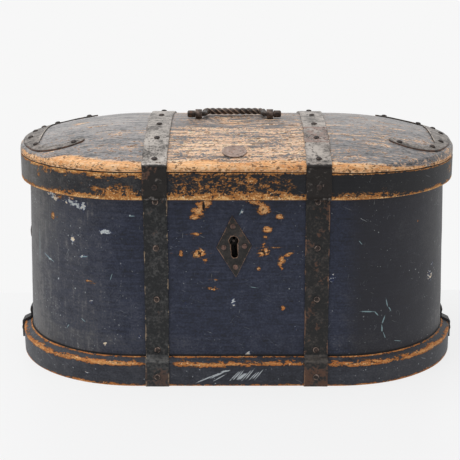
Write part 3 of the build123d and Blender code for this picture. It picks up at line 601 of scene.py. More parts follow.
        # Dark lines in the joints and holes: painted shade.
        colour = f.mix(colour, GAP_SHADE, f.mark("gap").rise(0.3, 0.7))
        height = grain * 0.16 + crumb * 0.12 + mottle * 0.10 + bits * 0.1
        height = height - bare * 0.9 - thin * 0.2 + chalky * 0.2
        gloss = 0.50 + bare * 0.22 + dust_and_light * 0.08 + crumb * 0.06
        return f.finished(colour, gloss, height, 0.35 * MM, specular=0.36)


@dataclass(frozen=True)
class BoardPaint:
    """Thin grey-blue paint on the domed pine board, rubbed through along the grain, which runs along x; its
    greys are lightened by a painted sheen.
    """

    name: str
    dark: Colour = (0.050, 0.048, 0.047)
    slate: Colour = (0.20, 0.196, 0.197)
    pale: Colour = (0.48, 0.45, 0.43)
    brown: Colour = (0.13, 0.055, 0.018)
    orange: Colour = (0.62, 0.26, 0.080)
    tan: Colour = (0.90, 0.51, 0.235)
    cream: Colour = (0.97, 0.76, 0.50)
    ashen: Colour = (0.80, 0.64, 0.50)

    def material(self) -> Material:
        """Build the finish. It reads the marks wear, edge and gap.

        Returns:
            The material.
        """
        f = Finish(self.name)
        streak = f.noise((26.0, 220.0, 220.0), 3.0, 0.6, 0.4)
        broad = f.noise((9.0, 40.0, 40.0), 4.0, 0.6)
        fibre = f.noise((70.0, 420.0, 420.0), 2.0, 0.6)
        crumb = f.noise((240.0, 360.0, 360.0), 2.0, 0.6)
        soft = f.noise(120.0, 2.0, 0.5)
        marked = f.mark("wear")
        edge_share = marked.rise(0.62, 0.95)
        wear = marked + streak * 0.30 + crumb * 0.38 + fibre * 0.24 + broad * 0.16
        thin = wear.rise(0.34, 0.54)
        bare = wear.rise(0.54, 0.62)
        light = (wear + fibre * 0.40 + crumb * 0.30).rise(0.62, 1.30)
        tone = broad * 0.30 + streak * 0.46 + fibre * 0.46 + crumb * 0.46 + 0.60
        # The slate and pale greys are lightened by a painted sheen besides the paint's own colour.
        paint = f.ramp(tone, [(0.0, self.dark), (0.45, self.slate), (1.0, self.pale)])
        wood = f.mix(self.orange, self.tan, light)
        creamy = (soft * 0.6 + streak * 0.5 - crumb * 0.8).rise(0.0, 0.60) * (0.85 - edge_share * 0.34)
        wood = f.mix(f.mix(wood, self.ashen, (1.0 - edge_share) * 0.55), self.cream, creamy)
        wood = f.mix(wood, self.brown, (fibre * 0.7 + crumb * 1.0 + soft * 0.5).rise(0.17, 0.68) * 0.92)
        colour = f.mix(f.mix(paint, self.brown, thin * 0.25), wood, bare)
        dark_lines = f.noise((24.0, 330.0, 330.0), 2.0, 0.6).rise(0.36, 0.66)
        colour = f.mix(colour, self.dark, dark_lines * (1.0 - marked.rise(0.7, 1.0)) * 0.65)
        edge_brown = (f.mark("edge") + crumb * 0.4 + streak * 0.4).rise(0.40, 0.75)
        # Browner just above the joint, and the joint itself darkened as painted shade.
        colour = f.mix(f.mix(colour, self.brown, edge_brown * 0.75), GAP_SHADE, f.mark("gap").rise(0.3, 0.7))
        height = fibre * 0.30 + streak * 0.24 + crumb * 0.28 - bare * 0.35
        return f.finished(colour, 0.46 + bare * 0.16 + crumb * 0.08, height, 0.34 * MM, specular=0.5)


@dataclass(frozen=True)
class BarePine:
    """Aged bare pine for the inside of the chest."""

    name: str
    source: str
    stretch: Colour
    light: Colour = (0.40, 0.24, 0.12)
    dark: Colour = (0.17, 0.085, 0.035)
    grimy: Colour = (0.07, 0.055, 0.045)

    def material(self) -> Material:
        """Build the finish from streaks along the grain and grey grime.

        Returns:
            The material.
        """
        f = Finish(self.name, self.source)
        grain = f.noise(self.stretch, 6.0, 0.6, 0.6)
        grime = f.noise(14.0, 4.0, 0.6)
        colour = f.mix(self.light, self.dark, (grain * 0.5 + 0.4).rise(0.0, 1.0))
        colour = f.mix(colour, self.grimy, (grime + 0.1).rise(0.0, 1.2) * 0.6)
        return f.finished(colour, 0.72 + grime * 0.06, grain * 0.4, 0.25 * MM, specular=0.3)


@dataclass(frozen=True)
class OldIron:
    """Forged iron with old paint, rubbed places and rust."""

    name: str
    dark: Colour
    light: Colour
    rust: Colour = (0.115, 0.050, 0.026)
    edge: Colour = (0.26, 0.19, 0.14)
    pit: Colour = (0.014, 0.011, 0.010)
    rust_share: float = 0.3
    light_share: float = 0.3
    pit_share: float = 0.5
    metallic: float = 0.35
    roughness: float = 0.52
    contrast: float = 1.0
    depth: float = 0.22 * MM

    def material(self) -> Material:
        """Build the finish. It reads the marks pale, edge and rusty where the mesh has them.

        Returns:
            The material.
        """
        f = Finish(self.name)
        cloud = f.noise(60.0, 3.0, 0.65)
        blotch = f.noise(140.0, 3.0, 0.65, 0.5)
        grit = f.noise(330.0, 2.0, 0.6)
        pits = f.noise(210.0, 2.0, 0.6)
        hammer = f.noise(95.0, 1.0, 0.3)
        mottled = (cloud * 0.26 + grit * 0.34 + blotch * 0.26) * self.contrast
        tone = f.mark("pale") * 0.95 + mottled + self.light_share
        colour = f.mix(self.dark, self.light, tone.rise(0.10, 1.20))
        rusty = (blotch * 0.46 + grit * 0.22 + f.mark("rusty") + self.rust_share).rise(0.42, 0.72)
        edges = (f.mark("edge") + blotch * 0.40 + grit * 0.30).rise(0.52, 0.80)
        pitted = (pits * 0.9 + grit * 0.5).rise(0.28, 0.58)
        colour = f.mix(f.mix(colour, self.rust, rusty * 0.85), self.edge, edges * 0.8)
        colour = f.mix(colour, self.pit, pitted * self.pit_share)
        height = hammer * 0.8 + cloud * 0.35 + grit * 0.25 - pitted * 0.8 + rusty * 0.15
        return f.finished(colour, self.roughness + rusty * 0.2 + grit * 0.08, height, self.depth,
                          metallic=(1.0 - rusty) * self.metallic, specular=0.45)


@dataclass(frozen=True)
class Worn:
    """A worn or marked place, strongest in its middle: place and size in mm, tilt in degrees."""

    run: float
    level: float
    width: float
    height: float
    strength: float = 1.0
    tilt: float = 0.0

    def at(self, run: Array, level: Array) -> Array:
        """The spot's strength at places: a bell over the turned and scaled distance from its middle.

        Args:
            run: places along the surface.
            level: places up it.

        Returns:
            Strengths, at most the spot's own.
        """
        along, up = run - self.run * MM, level - self.level * MM
        cosine, sine = math.cos(math.radians(self.tilt)), math.sin(math.radians(self.tilt))
        across, over = along * cosine + up * sine, up * cosine - along * sine
        far = (across / (self.width * MM / 2)) ** 2 + (over / (self.height * MM / 2)) ** 2
        return self.strength * np.exp(-0.7 * far)


def strongest(spots: Iterable[tuple[float, ...]], run: Array, level: Array) -> Array:
    """The strongest of several worn places, each given by its fields in order.

    Args:
        spots: the fields of each place.
        run: places along the surface.
        level: places up it.

    Returns:
        One strength for each place.
    """
    found = np.zeros(np.broadcast(run, level).shape)
    for spot in spots:
        found = np.maximum(found, Worn(*spot).at(run, level))
    return found


@dataclass
class Hoops:
    """The body wall, the foot hoop and the lid hoop: boards bent round the oval."""

    oval: Oval
    hoop_bottom: float = 228.0 * MM
    joint_level: float = 261.0 * MM
    hoop_out: float = 150.0 * MM
    hoop_thickness: float = 7.5 * MM
    wall_thickness: float = 7.0 * MM
    wall_foot: float = 2.0 * MM
    wall_gap: float = 0.3 * MM
    side_gap: float = 4.0 * MM
    flare: float = 6.0 * MM
    foot_gap: float = 0.1 * MM
    foot_thickness: float = 10.4 * MM
    foot_height: float = 35.0 * MM
    foot_shoulder: float = 29.5 * MM
    ease: float = 1.6 * MM
    chip_depth: float = 0.8 * MM
    mortise_middle: tuple[float, float] = (-3.0 * MM, 169.5 * MM)
    mortise_half: tuple[float, float] = (7.0 * MM, 15.0 * MM)
    wall_steps: tuple[float, float, float] = (1.8 * MM, 4.4 * MM, 2.3 * MM)

    def wall_out(self, level: Array | float) -> Array | float:
        """Distance out of the body's face at a height: it flares evenly from lid to floor."""
        top_out = self.hoop_out - self.hoop_thickness - self.side_gap
        return top_out + self.flare * (1 - level / (self.joint_level - self.wall_gap))

    def carried(self, profile: Array, lift: Array, runs: Array, unevenness: float,
                seed: int) -> tuple[Array, Array, Array]:
        """A section carried round the oval. Each point lies at its own distance out and height, less the
        joint's drop times its lift, and is rubbed inward by a ripple.

        Args:
            profile: distance out and level of each point of the section.
            lift: share of the joint's drop that each point follows.
            runs: the columns.
            unevenness: the most that a point is rubbed inward.
            seed: picks the ripple.

        Returns:
            The points, their runs and their levels, rows by columns.
        """
        out, level = profile[:, :1], profile[:, 1:]
        run = np.broadcast_to(runs, (len(profile), len(runs)))
        level = level - lift[:, None] * self.oval.joint_drop(self.oval.place(run, out, level)[..., 0])
        pushed = unevenness * (ripple(joined(run, level), 55 * MM, seed) * 0.5 - 0.5)
        return self.oval.place(run, out + pushed, level), run, level

    def uv_of(self, profile: Array, runs: Array) -> Array:
        """Run and length along the section as the UV map, in metres, with a closing row and column."""
        up = running_length(np.concatenate([profile, profile[:1]]))
        return joined(*np.meshgrid([*runs, self.oval.half_length], up))

    def wall_marks(self, run: Array, level: Array) -> dict[str, Array]:
        """Paint lost, chalky marks, holes and a joint line painted dark as shade, paint fade with painted
        light and sheen at the ends, and painted shade at the right end and back, as the photographed chest
        has them.

        Args:
            run: places round the oval.
            level: heights.

        Returns:
            The marks by name.
        """
        torn = ((-38, 220.5, 17, 7.5, 1.05, 10), (-45, 212, 13, 11, 0.95, -35),
            (-49, 205.5, 11, 5, 0.95, 10), (-41, 216.5, 17, 9, 1.05, 38), (20, 223, 18, 5, 1, -14),
            (31, 215.5, 14, 11, 1.05, -30), (50.3, 205.8, 8, 5.5, 0.95), (35.2, 190.2, 10, 7),
            (33, 180.2, 8, 4, 0.8), (32, 173, 5.5, 3.5, 0.75), (31.9, 162.6, 13, 9, 0.95, 30),
            (-44, 162, 14, 10, 1, 25), (-64.8, 162, 5, 7, 0.85), (-48, 184.8, 17, 3, 0.85, 2),
            (-49.5, 181.5, 6, 3, 0.7), (53, 153, 7, 12, 0.85, -20), (60.5, 160.5, 14, 4, 0.8, 28),
            (26.1, 142.5, 5, 4.5, 0.75), (52.7, 143.7, 4, 5, 0.7), (54.8, 94.4, 5.5, 4.5, 0.85),
            (-27, 129, 12, 3.2, 0.62, -6), (-30, 118.6, 20, 2.2, 0.7, -3), (-26.5, 118.6, 4, 4, 0.8),
            (-37, 153, 6, 6, 0.65, -40), (-178, 123.2, 12, 3.5, 0.8, -8), (-240, 195.8, 6, 9, 0.85),
            (-231, 196, 4, 4, 0.7), (-228, 221, 20, 6, 0.72, 6), (-205, 222, 12, 5, 0.65),
            (236.3, 189.8, 3.5, 4.5, 0.8), (-54, 160.8, 62, 1.6, 0.56), (37, 168.4, 42, 1.6, 0.56),
            (-116, 230, 60, 4, 0.4), (470, 190, 16, 6, 0.8, 20), (560, 80, 10, 12, 0.8),
            (-520, 140, 14, 4, 0.75, 12), (-600, 200, 20, 5, 0.8, -8), (640, 150, 9, 9, 0.85),
            (380, 170, 7, 9, 0.7), (-400, 70, 8, 5, 0.75))
        chalky = ((-156.6, 186.6, 14, 6, 0.9, -8), (-204, 171.6, 6.5, 7.5, 0.85),
            (-188.8, 153.5, 14, 3, 0.8, 4), (-252, 142, 26, 2.4, 0.75, -16), (-277, 150, 2.2, 60, 0.5),
            (-124, 206.7, 8, 2.2, 0.62), (-237, 220.5, 26, 7, 0.72, -14), (-199, 216.5, 30, 8, 0.84, -12),
            (-186, 214, 8, 12, 0.7), (-178, 98.3, 9, 5, 0.55, 30), (-115.8, 58.2, 4, 4, 0.75),
            (-160, 47.5, 3, 3, 0.7), (-166.6, 62, 3, 4, 0.7), (6, 211.5, 2.6, 8, 0.7, -24),
            (-4.5, 102.5, 5, 8, 0.85, 20), (13.4, 36.7, 6, 5, 0.85), (272, 128.8, 7, 7, 0.6),
            (265, 115, 16, 24, 0.42, 10), (112.2, 130.3, 9, 12, 0.5), (-82, 190, 5, 3, 0.5),
            (-60, 100, 2, 9, 0.5, 20), (70, 70, 2, 8, 0.5, 10), (-230, 120, 2, 12, 0.5, -20),
            (500, 100, 30, 2.2, 0.7, 8), (-450, 180, 2.4, 30, 0.6, 14))
        # Holes painted dark as their own shade.
        holes = ((-38.5, 218.5, 3, 9.5, 1.2, 4), (-44, 162, 2.2, 9, 1.1, 28), (-43, 161.5, 8, 2, 1, 35),
            (31.9, 162.4, 2.2, 8, 1.1, 20), (31, 163, 9, 2.2, 1, -10), (30.5, 214, 3, 5, 0.8, -30))
        # Lighter towards both ends, most at the left: paint fade together with painted light and sheen.
        fade_and_light = 0.34 * rise(0.09, 0.20, -run) + 0.54 * rise(0.22, 0.31, -run) + 0.42 * rise(0.22, 0.32, run)
        # A dark line on the wall just above the foot hoop: painted shade in the joint.
        seam = bell(level, self.foot_height, 1.9 * MM)
        return {"wear": 1.04 * strongest(torn, run, level), "chalk": strongest(chalky, run, level),
                "gap": np.maximum(strongest(holes, run, level), seam),
                "faded": to_back(0.12 + fade_and_light, run, 0.34) + 0.12 * (level < 60 * MM),
                # Darker at the right end and the back: painted shade.
                "dull": to_back(rise(0.10, 0.17, run), run, 0.4)}

    def build_wall(self, paint: Material, inside: Material) -> None:
        """The body wall: outer face, rounded rim and inner face, with a mortise behind the lock plate.

        Args:
            paint: finish of the outer face.
            inside: finish of the inner face and the mortise.
        """
        middle_run, middle_level = self.mortise_middle
        half_run, half_level = self.mortise_half
        front_step, other_step, row_step = self.wall_steps
        low, high = middle_level - half_level, middle_level + half_level
        top = self.joint_level - self.wall_gap
        heights = np.concatenate([
            np.linspace(start, end, max(2, round((end - start) / row_step)), endpoint=False)
            for start, end in ((self.wall_foot, low), (low, high), (high, top - self.ease))])
        outer = joined(self.wall_out(heights), heights)
        corner = self.wall_out(top)
        rim = round_corners([[self.wall_out(top - self.ease), top - self.ease], [corner, top],
                             [corner - self.wall_thickness, top],
                             [corner - self.wall_thickness, top - self.ease]], (self.ease, self.ease))
        profile = np.concatenate([outer, rim, (outer - [self.wall_thickness, 0.0])[::-1]])
        lift = np.clip((profile[:, 1] - high) / (top - high), 0.0, 1.0)
        runs = self.oval.runs(front_step, other_step, (middle_run - half_run, middle_run + half_run))
        points, run, level = self.carried(profile, lift, runs, 0.25 * MM, 11)
        rows, columns, rows_outer = len(profile), len(runs), len(outer)
        is_outer = np.arange(rows)[:, None] < rows_outer + 3
        marks = self.wall_marks(run, level)
        dented = rise(0.45, 0.95, marks["wear"]) * is_outer * self.chip_depth
        points = points - unit(points - self.oval.place(run, 0 * run, level)) * dented[..., None]
        marks.update({name: marks[name] * is_outer for name in ("wear", "chalk", "gap")})
        surface = Surface.grid(points, True, marks, self.uv_of(profile, runs))
        first, last = (int(np.argmin(np.abs(runs - middle_run - sign * half_run))) for sign in (-1, 1))
        bottom, crown = (int(np.argmin(np.abs(heights - edge))) for edge in (low, high))
        face_row, face_column = np.divmod(np.arange(rows * columns), columns)
        behind = rows - 2 - face_row
        in_rows = (face_row >= bottom) & (face_row < crown)
        in_rows |= (behind >= bottom) & (behind < crown) & (face_row > rows_outer)
        kept = ~(in_rows & (face_column >= first) & (face_column < last))
        up, along = crown - bottom, last - first
        rising, falling = [*range(bottom, crown)], [*range(crown, bottom, -1)]
        ring_row = np.array([bottom] * along + rising + [crown] * along + falling)
        ring_column = np.array([*range(first, last)] + [last] * up + [*range(last, first, -1)] + [first] * up)
        ring = ring_row * columns + ring_column
        back_ring = (rows - 1 - ring_row) * columns + ring_column
        tunnel = joined(ring, np.roll(ring, -1), np.roll(back_ring, -1), back_ring)
        finish = np.where((face_row >= rows_outer + 4) & (face_row < rows - 1), 1, 0)
        surface.faces = np.concatenate([surface.faces[kept], tunnel])
        surface.uv_faces = np.concatenate([surface.uv_faces[kept], np.zeros_like(tunnel)])
        surface.piece("painted_body_wall", "body_wall", Body.CHEST, "painted_side_wood", [paint, inside],
                      np.concatenate([finish[kept], np.ones(len(tunnel), int)]))

    def build_foot(self, paint: Material) -> None:
        """The foot hoop, with a bevelled top and rubbed edges.

        Args:
            paint: its finish.
        """
        inner_foot = self.wall_out(0.0) + self.foot_gap
        out = inner_foot + self.foot_thickness
        corners = [[inner_foot, 0.0], [out, 0.0], [out, self.foot_shoulder],
                   [self.wall_out(self.foot_height) + self.foot_gap, self.foot_height], [inner_foot, 0.0]]
        profile = refine(round_corners(corners, (1.4 * MM, 1.8 * MM, 0.5 * MM)), 1.9 * MM)[:-1]
        runs = self.oval.runs(2.2 * MM, 3.4 * MM)
        points, run, level = self.carried(profile, np.zeros(len(profile)), runs, 0.3 * MM, 12)
        ring, far = joined(run, level * 6), np.abs(run)
        jitter = ripple(ring, 34 * MM, 21) * 0.5 + ripple(ring, 9 * MM, 22) * 0.25
        slow = ripple(joined(run, run), 210 * MM, 23)
        rubbing = 0.76 + 0.30 * jitter + 0.28 * np.abs(slow)
        shoulder = bell(level, 28 * MM, (2.9 + 1.4 * jitter) * MM) * rubbing
        near_clips = rise(0.0, 0.03, np.abs(far - 0.35)) * 0.3 + 0.7
        beside_straps = np.minimum(1 - bell(far, 94.5 * MM, 16 * MM), near_clips)
        foot_line = bell(level, 0.0, (2.7 + 0.6 * slow) * MM) * (0.95 + 0.2 * jitter)
        rim = bell(level, self.foot_height - 0.9 * MM, 0.8 * MM) * (0.78 + 0.3 * jitter)
        drips = bell(level, 23 * MM, 3 * MM) * rise(0.2, 1.1, jitter) * 0.62 * rise(0.12, 0.2, far)
        # Lighter at the ends: paint fade together with painted light and sheen.
        faded = 0.24 + 0.26 * rise(0.1, 0.3, -run) + 0.1 * rise(0.1, 0.2, run)
        marks = {"wear": np.maximum.reduce([shoulder * beside_straps, foot_line, rim, drips]),
                 "chalk": strongest([(-180, 12, 8, 3, 0.5)], run, level),
                 # The top rim, against the wall, is painted dark as shade in the joint.
                 "gap": 0.9 * (level > self.foot_height - 0.35 * MM), "faded": to_back(faded, run, 0.3),
                 # Darker at the right end and the back: painted shade.
                 "dull": to_back(0.5 * rise(0.1, 0.2, run), run, 0.3)}
        surface = Surface.grid(points, True, marks, self.uv_of(profile, runs))
        surface.piece("painted_foot_hoop", "foot_hoop", Body.CHEST, "painted_side_wood", [paint])

    def build_lid_hoop(self, paint: Material, inside: Material) -> None:
        """The lid hoop, arched along its top, with worn edges and rubbed patches.

        Args:
            paint: finish of the outer face.
            inside: finish of the inner face.
        """
        inner, tall = self.hoop_out - self.hoop_thickness, self.joint_level - self.hoop_bottom
        corners = [[inner, self.hoop_bottom], [self.hoop_out, self.hoop_bottom],
                   [self.hoop_out, self.joint_level], [inner, self.joint_level], [inner, self.hoop_bottom]]
        profile = refine(round_corners(corners, (1.5 * MM, 1.6 * MM, 0.6 * MM)), 1.7 * MM)[:-1]
        share = (profile[:, 1] - self.hoop_bottom) / tall
        runs = self.oval.runs(2.0 * MM, 3.4 * MM)
        points, run, _ = self.carried(profile, share, runs, 0.3 * MM, 13)
        height = np.broadcast_to((share * tall)[:, None], run.shape)
        ring = joined(run, height * 5)
        jitter = ripple(ring, 26 * MM, 31) * 0.5 + ripple(ring, 8 * MM, 32) * 0.3
        slow = ripple(joined(run, run), 150 * MM, 33)
        left_front = rise(-0.33, -0.24, run) * (1 - rise(-0.11, -0.06, run))
        middle = rise(-0.084, -0.07, run) * (1 - rise(0.06, 0.082, run))
        top_width = (2.0 + 3.2 * left_front + 0.5 * slow + 7.0 * rise(0.1, 1.0, jitter) * left_front) * MM
        top_line = bell(tall - height, 0.0, top_width) * (0.95 + 0.3 * jitter)
        low_width = (6.0 + 1.2 * slow + 2.0 * middle - 2.4 * (run > 0.1) + 2.2 * np.clip(jitter, 0, 1)) * MM
        low_line = bell(height, 0.0, low_width) * (1.10 + 0.35 * jitter)
        patches = ((-135, 5, 38, 22, 0.86), (-150, 10, 14, 9, 0.66), (-163, 13, 14, 8, 0.66),
            (-118, 8, 12, 12, 0.6), (150, 5, 96, 9, 0.58), (-140, 26, 8, 5, 0.5), (-252, 22, 6, 14, 0.55),
            (-235, 26, 18, 6, 0.6), (-60, 14, 26, 16, 0.56), (-42, 18, 3, 30, 0.62, -12),
            (-28, 14, 34, 24, 0.5), (6, 7, 60, 12, 0.66), (16, 22, 30, 14, 0.55), (44, 8, 40, 12, 0.6),
            (38, 20, 26, 5, 0.55, 12), (-74, 28, 14, 6, 0.55), (66, 27, 6, 4, 0.5), (172, 13, 6, 4, 0.55),
            (300, 20, 20, 16, 0.55), (420, 12, 50, 14, 0.52), (-420, 16, 40, 12, 0.55),
            (560, 10, 60, 12, 0.58), (-640, 12, 50, 12, 0.56), (700, 20, 30, 10, 0.5))
        dots = ((-190, 19, 3, 3, 0.6), (-172, 17, 2.5, 2.5, 0.6), (96, 24, 3, 3, 0.6))
        rubbed = np.maximum.reduce([strongest(patches, run, height), 0.20 * left_front,
                                    middle * (0.27 + 0.10 * slow + 0.16 * jitter)])
        is_outer = profile[:, :1] > inner + 2 * MM
        # Lighter at both ends: paint fade together with painted light and sheen.
        faded = 0.05 + 0.26 * rise(0.07, 0.15, -run) + 0.62 * rise(0.21, 0.33, -run)
        faded = faded + 0.40 * rise(0.29, 0.36, run)
        marks = {"wear": np.maximum.reduce([top_line, low_line, rubbed]) * is_outer,
                 "chalk": strongest(dots, run, height),
                 # The top edge, under the board, is painted dark as shade in the joint.
                 "gap": rise(tall - 0.9 * MM, tall - 0.3 * MM, height) * is_outer,
                 "faded": to_back(faded, run, 0.35),
                 # Darker at the right end and the back: painted shade.
                 "dull": to_back(0.35 + 0.65 * rise(0.07, 0.12, run), run, 0.5)}
        surface = Surface.grid(points, True, marks, self.uv_of(profile, runs))
        face_row = np.arange(len(surface.faces)) // len(runs)
        surface.piece("painted_lid_hoop", "lid_hoop", Body.LID, "painted_side_wood", [paint, inside],
                      np.where(profile[face_row, 0] < inner + 0.5 * MM, 1, 0))


@dataclass
class LidBoard:
    """The domed board of the lid, with a rounded, rubbed edge and a carved finger hollow."""

    oval: Oval
    joint_level: float
    out: float
    ridge: float
    dome_radius: float = 438.0 * MM
    edge_round: float = 4.5 * MM
    ease: float = 1.2 * MM
    hollow_middle: float = -3.0 * MM
    hollow_length: float = 76.0 * MM
    hollow_depth: float = 6.5 * MM
    rim_softness: float = 0.5 * MM

    def dome(self, out: Array | float) -> Array | float:
        """Height of the dome at a distance out from the middle line, on its circle."""
        return self.ridge - self.dome_radius + np.sqrt(self.dome_radius**2 - out**2)

    def hollow(self, x: Array, y: Array) -> Array:
        """Height of the hollow's ball-shaped floor over a point of the plan.

        Args:
            x: across the chest.
            y: back to front.

        Returns:
            Heights on the ball.
        """
        radius = ((self.hollow_length / 2) ** 2 + self.hollow_depth**2) / (2 * self.hollow_depth)
        far = np.minimum((x - self.hollow_middle) ** 2 + y**2, radius**2)
        return self.ridge - self.hollow_depth + radius - np.sqrt(radius**2 - far)

    def wear(self, x: Array, y: Array, out: Array, level: Array) -> Array:
        """How far the paint is rubbed: along the front edge most, in the middle much, at the ends little.

        Args:
            x: across the chest.
            y: back to front.
            out: distance out from the middle line.
            level: height.

        Returns:
            Rubbing from 0 to about 1.
        """
        place = joined(x, y)
        wave = ripple(place, 60 * MM, 41) * 0.5 + ripple(place, 22 * MM, 42) * 0.25
        inset = self.out - out
        over = level - self.joint_level + self.oval.joint_drop(x)
        narrow = 1 - 0.80 * rise(0.07, 0.18, x) - 0.15 * rise(0.12, 0.2, -x)
        band = (1 - rise(6 * MM * narrow, 21 * MM * narrow, inset + wave * 5 * MM)) * rise(0.02, 0.06, -y)
        limit = 22 - 17.5 * rise(0.08, 0.21, x) - 14.0 * rise(0.17, 0.24, -x)
        band = band * (1 - rise(0.75, 1.25, (over / MM + wave * 1.5) / limit))
        sides = (1 - rise(1 * MM, 4 * MM, inset + wave * 2 * MM)) * 0.6
        middle = 1 - rise(0.055, 0.125, np.abs(x - 0.005))
        toward_front = rise(-0.02, 0.12, -y)
        field = 0.20 + 0.31 * middle + 0.14 * toward_front + 0.10 * (x > 0.1)
        field = field + 0.06 * toward_front * (x < -0.1)
        field = field * (1 - 0.35 * rise(0.03, 0.12, y)) + wave * 0.07
        spots = ((-196, 0, 24, 20, 0.62), (190, -4, 34, 16, 0.62, 12), (150, 14, 34, 22, 0.5),
            (-175, -30, 40, 12, 0.45), (-3, 0, 66, 40, 0.78), (-50, -45, 60, 40, 0.56),
            (40, -60, 60, 50, 0.66), (-150, -100, 60, 20, 0.48), (140, -75, 70, 30, 0.46),
            (60, 70, 60, 26, 0.5), (-120, 80, 70, 20, 0.48))
        # Less rubbing right at the joint, so that the painted shade line there stays dark.
        joint_shade = 0.25 * (1 - rise(0.0, 1.2 * MM, over))
        return np.maximum.reduce([field, strongest(spots, x, y), band * 1.05, sides * 0.9]) - joint_shade

    def build(self, paint: Material, inside: Material) -> None:
        """Carry the board's section round the oval: flat underside, edge, then the dome up to its ridge.

        Args:
            paint: finish of the edge and the top.
            inside: finish of the underside.
        """
        joint, edge_level, start = self.joint_level, float(self.dome(self.out)), self.out - 8 * MM
        lower = refine(np.array([[0.0, joint], [self.out, joint]]), 12 * MM)[:-1]
        corner_turn = [[self.out - 6 * MM, joint], [self.out, joint], [self.out, edge_level],
                       [start, float(self.dome(start))]]
        edge = refine(round_corners(corner_turn, (self.ease, self.edge_round), 7), 0.9 * MM)
        inward = np.linspace(start, 0.0, 66)[1:]
        profile = np.concatenate([lower, edge, joined(inward, self.dome(inward))])
        share = np.clip(1 - (profile[:, 1] - joint) / (edge_level - joint), 0.0, 1.0)
        share[: len(lower)] = 1.0
        share[len(lower) + len(edge):] = 0.0
        runs = self.oval.runs(2.2 * MM, 3.6 * MM)
        run = np.broadcast_to(runs, (len(profile), len(runs)))
        out, level = profile[:, :1], profile[:, 1:]
        drop = self.oval.joint_drop(self.oval.place(run, out, level)[..., 0])
        level = level - share[:, None] * drop
        on_top = np.arange(len(profile))[:, None] > len(lower) + 6
        rubbed = 0.45 * MM * bell(out, self.out, 9 * MM) * on_top
        pushed = -rubbed * (0.5 - 0.5 * ripple(joined(run, level), 30 * MM, 43))
        points = self.oval.place(run, out + pushed * (out > 1 * MM), level)
        over = (points[..., 2] - self.hollow(points[..., 0], points[..., 1])) / self.rim_softness
        carved = points[..., 2] - self.rim_softness * np.logaddexp(0.0, np.clip(over, -50, 50))
        points[..., 2] = np.where(on_top & (over > -6), carved, points[..., 2])
        relief = ripple(points[..., :2] * np.array([0.25, 1.0]), 24 * MM, 44)
        points[..., 2] += 0.18 * MM * (relief - 1.0) * rise(0.0, 20 * MM, out) * on_top
        over_joint, at_edge = level - joint + drop, out > self.out - 7 * MM
        marks = {"wear": self.wear(points[..., 0], points[..., 1], out, level),
                 # The lowest rim of the edge, against the hoop, is painted dark as shade in the joint.
                 "gap": (1 - rise(0.5 * MM, 1.5 * MM, over_joint)) * at_edge,
                 "edge": 0.55 * bell(over_joint, 2.6 * MM, 1.8 * MM) * at_edge}
        surface = Surface.grid(points, False, marks)
        face_row = np.arange(len(surface.faces)) // len(runs)
        surface.piece("painted_lid_board", "lid_board", Body.LID, "painted_lid_wood", [paint, inside],
                      np.where(face_row < len(lower) + 2, 1, 0))


@dataclass
class Bar:
    """A flat iron bar: a rounded oblong section carried along a line in an upright plane across x."""

    width: float
    thickness: float
    corner: float = 0.55 * MM
    across_step: float = 1.7 * MM
    wobble: float = 0.16 * MM

    def build(self, line: Array, x: float, width_share: Array,
              seed: int) -> tuple[Array, Array, Array, Array]:
        """Carry the section along a line of (y, z) points. Each row is the line's point, plus the section's
        up part along the line's normal and its across part along x; both ends shrink to a pole.

        Args:
            line: the line through the bar's middle.
            x: where the bar lies across the chest.
            width_share: share of the full width at each point of the line.
            seed: picks the hammered unevenness.

        Returns:
            Points, how near each is to a long edge, length along the line and the across part.
        """
        w, t = self.width / 2, self.thickness / 2
        corners = [[0.0, -t], [w, -t], [w, t], [-w, t], [-w, -t], [0.0, -t]]
        loop = refine(round_corners(corners, [self.corner] * 4, 4), self.across_step)[None, :-1]
        tangent = unit(np.gradient(line, axis=0))
        rows = np.array([0, *range(len(line)), len(line) - 1])
        normal = joined(-tangent[:, 1], tangent[:, 0])[rows][:, None, :]
        shrink = np.ones((len(rows), 1))
        shrink[[0, -1]] = 0.0
        along = running_length(line)[rows][:, None]
        full = width_share[rows][:, None]
        across = loop[..., 0] * full * shrink
        side_place = joined(along, 0.2 * np.sign(across))
        coarse, fine = ripple(side_place, 30 * MM, seed), ripple(side_place, 9 * MM, seed + 1)
        across = across * (1 + 0.018 * coarse + 0.008 * fine)
        face_place = joined(along, across * 2.0)
        dent = self.wobble * (ripple(face_place, 26 * MM, seed + 2) * 0.5 - 0.5) * (loop[..., 1] > 0)
        lifted = line[rows][:, None, :] + normal * ((loop[..., 1] + dent) * shrink)[..., None]
        points = joined(x + across, lifted[..., 0], lifted[..., 1])
        edge = rise(0.80, 0.98, np.abs(across) / (w * full)) * (loop[..., 1] > -0.2 * self.thickness)
        return points, edge, along + 0 * across, across


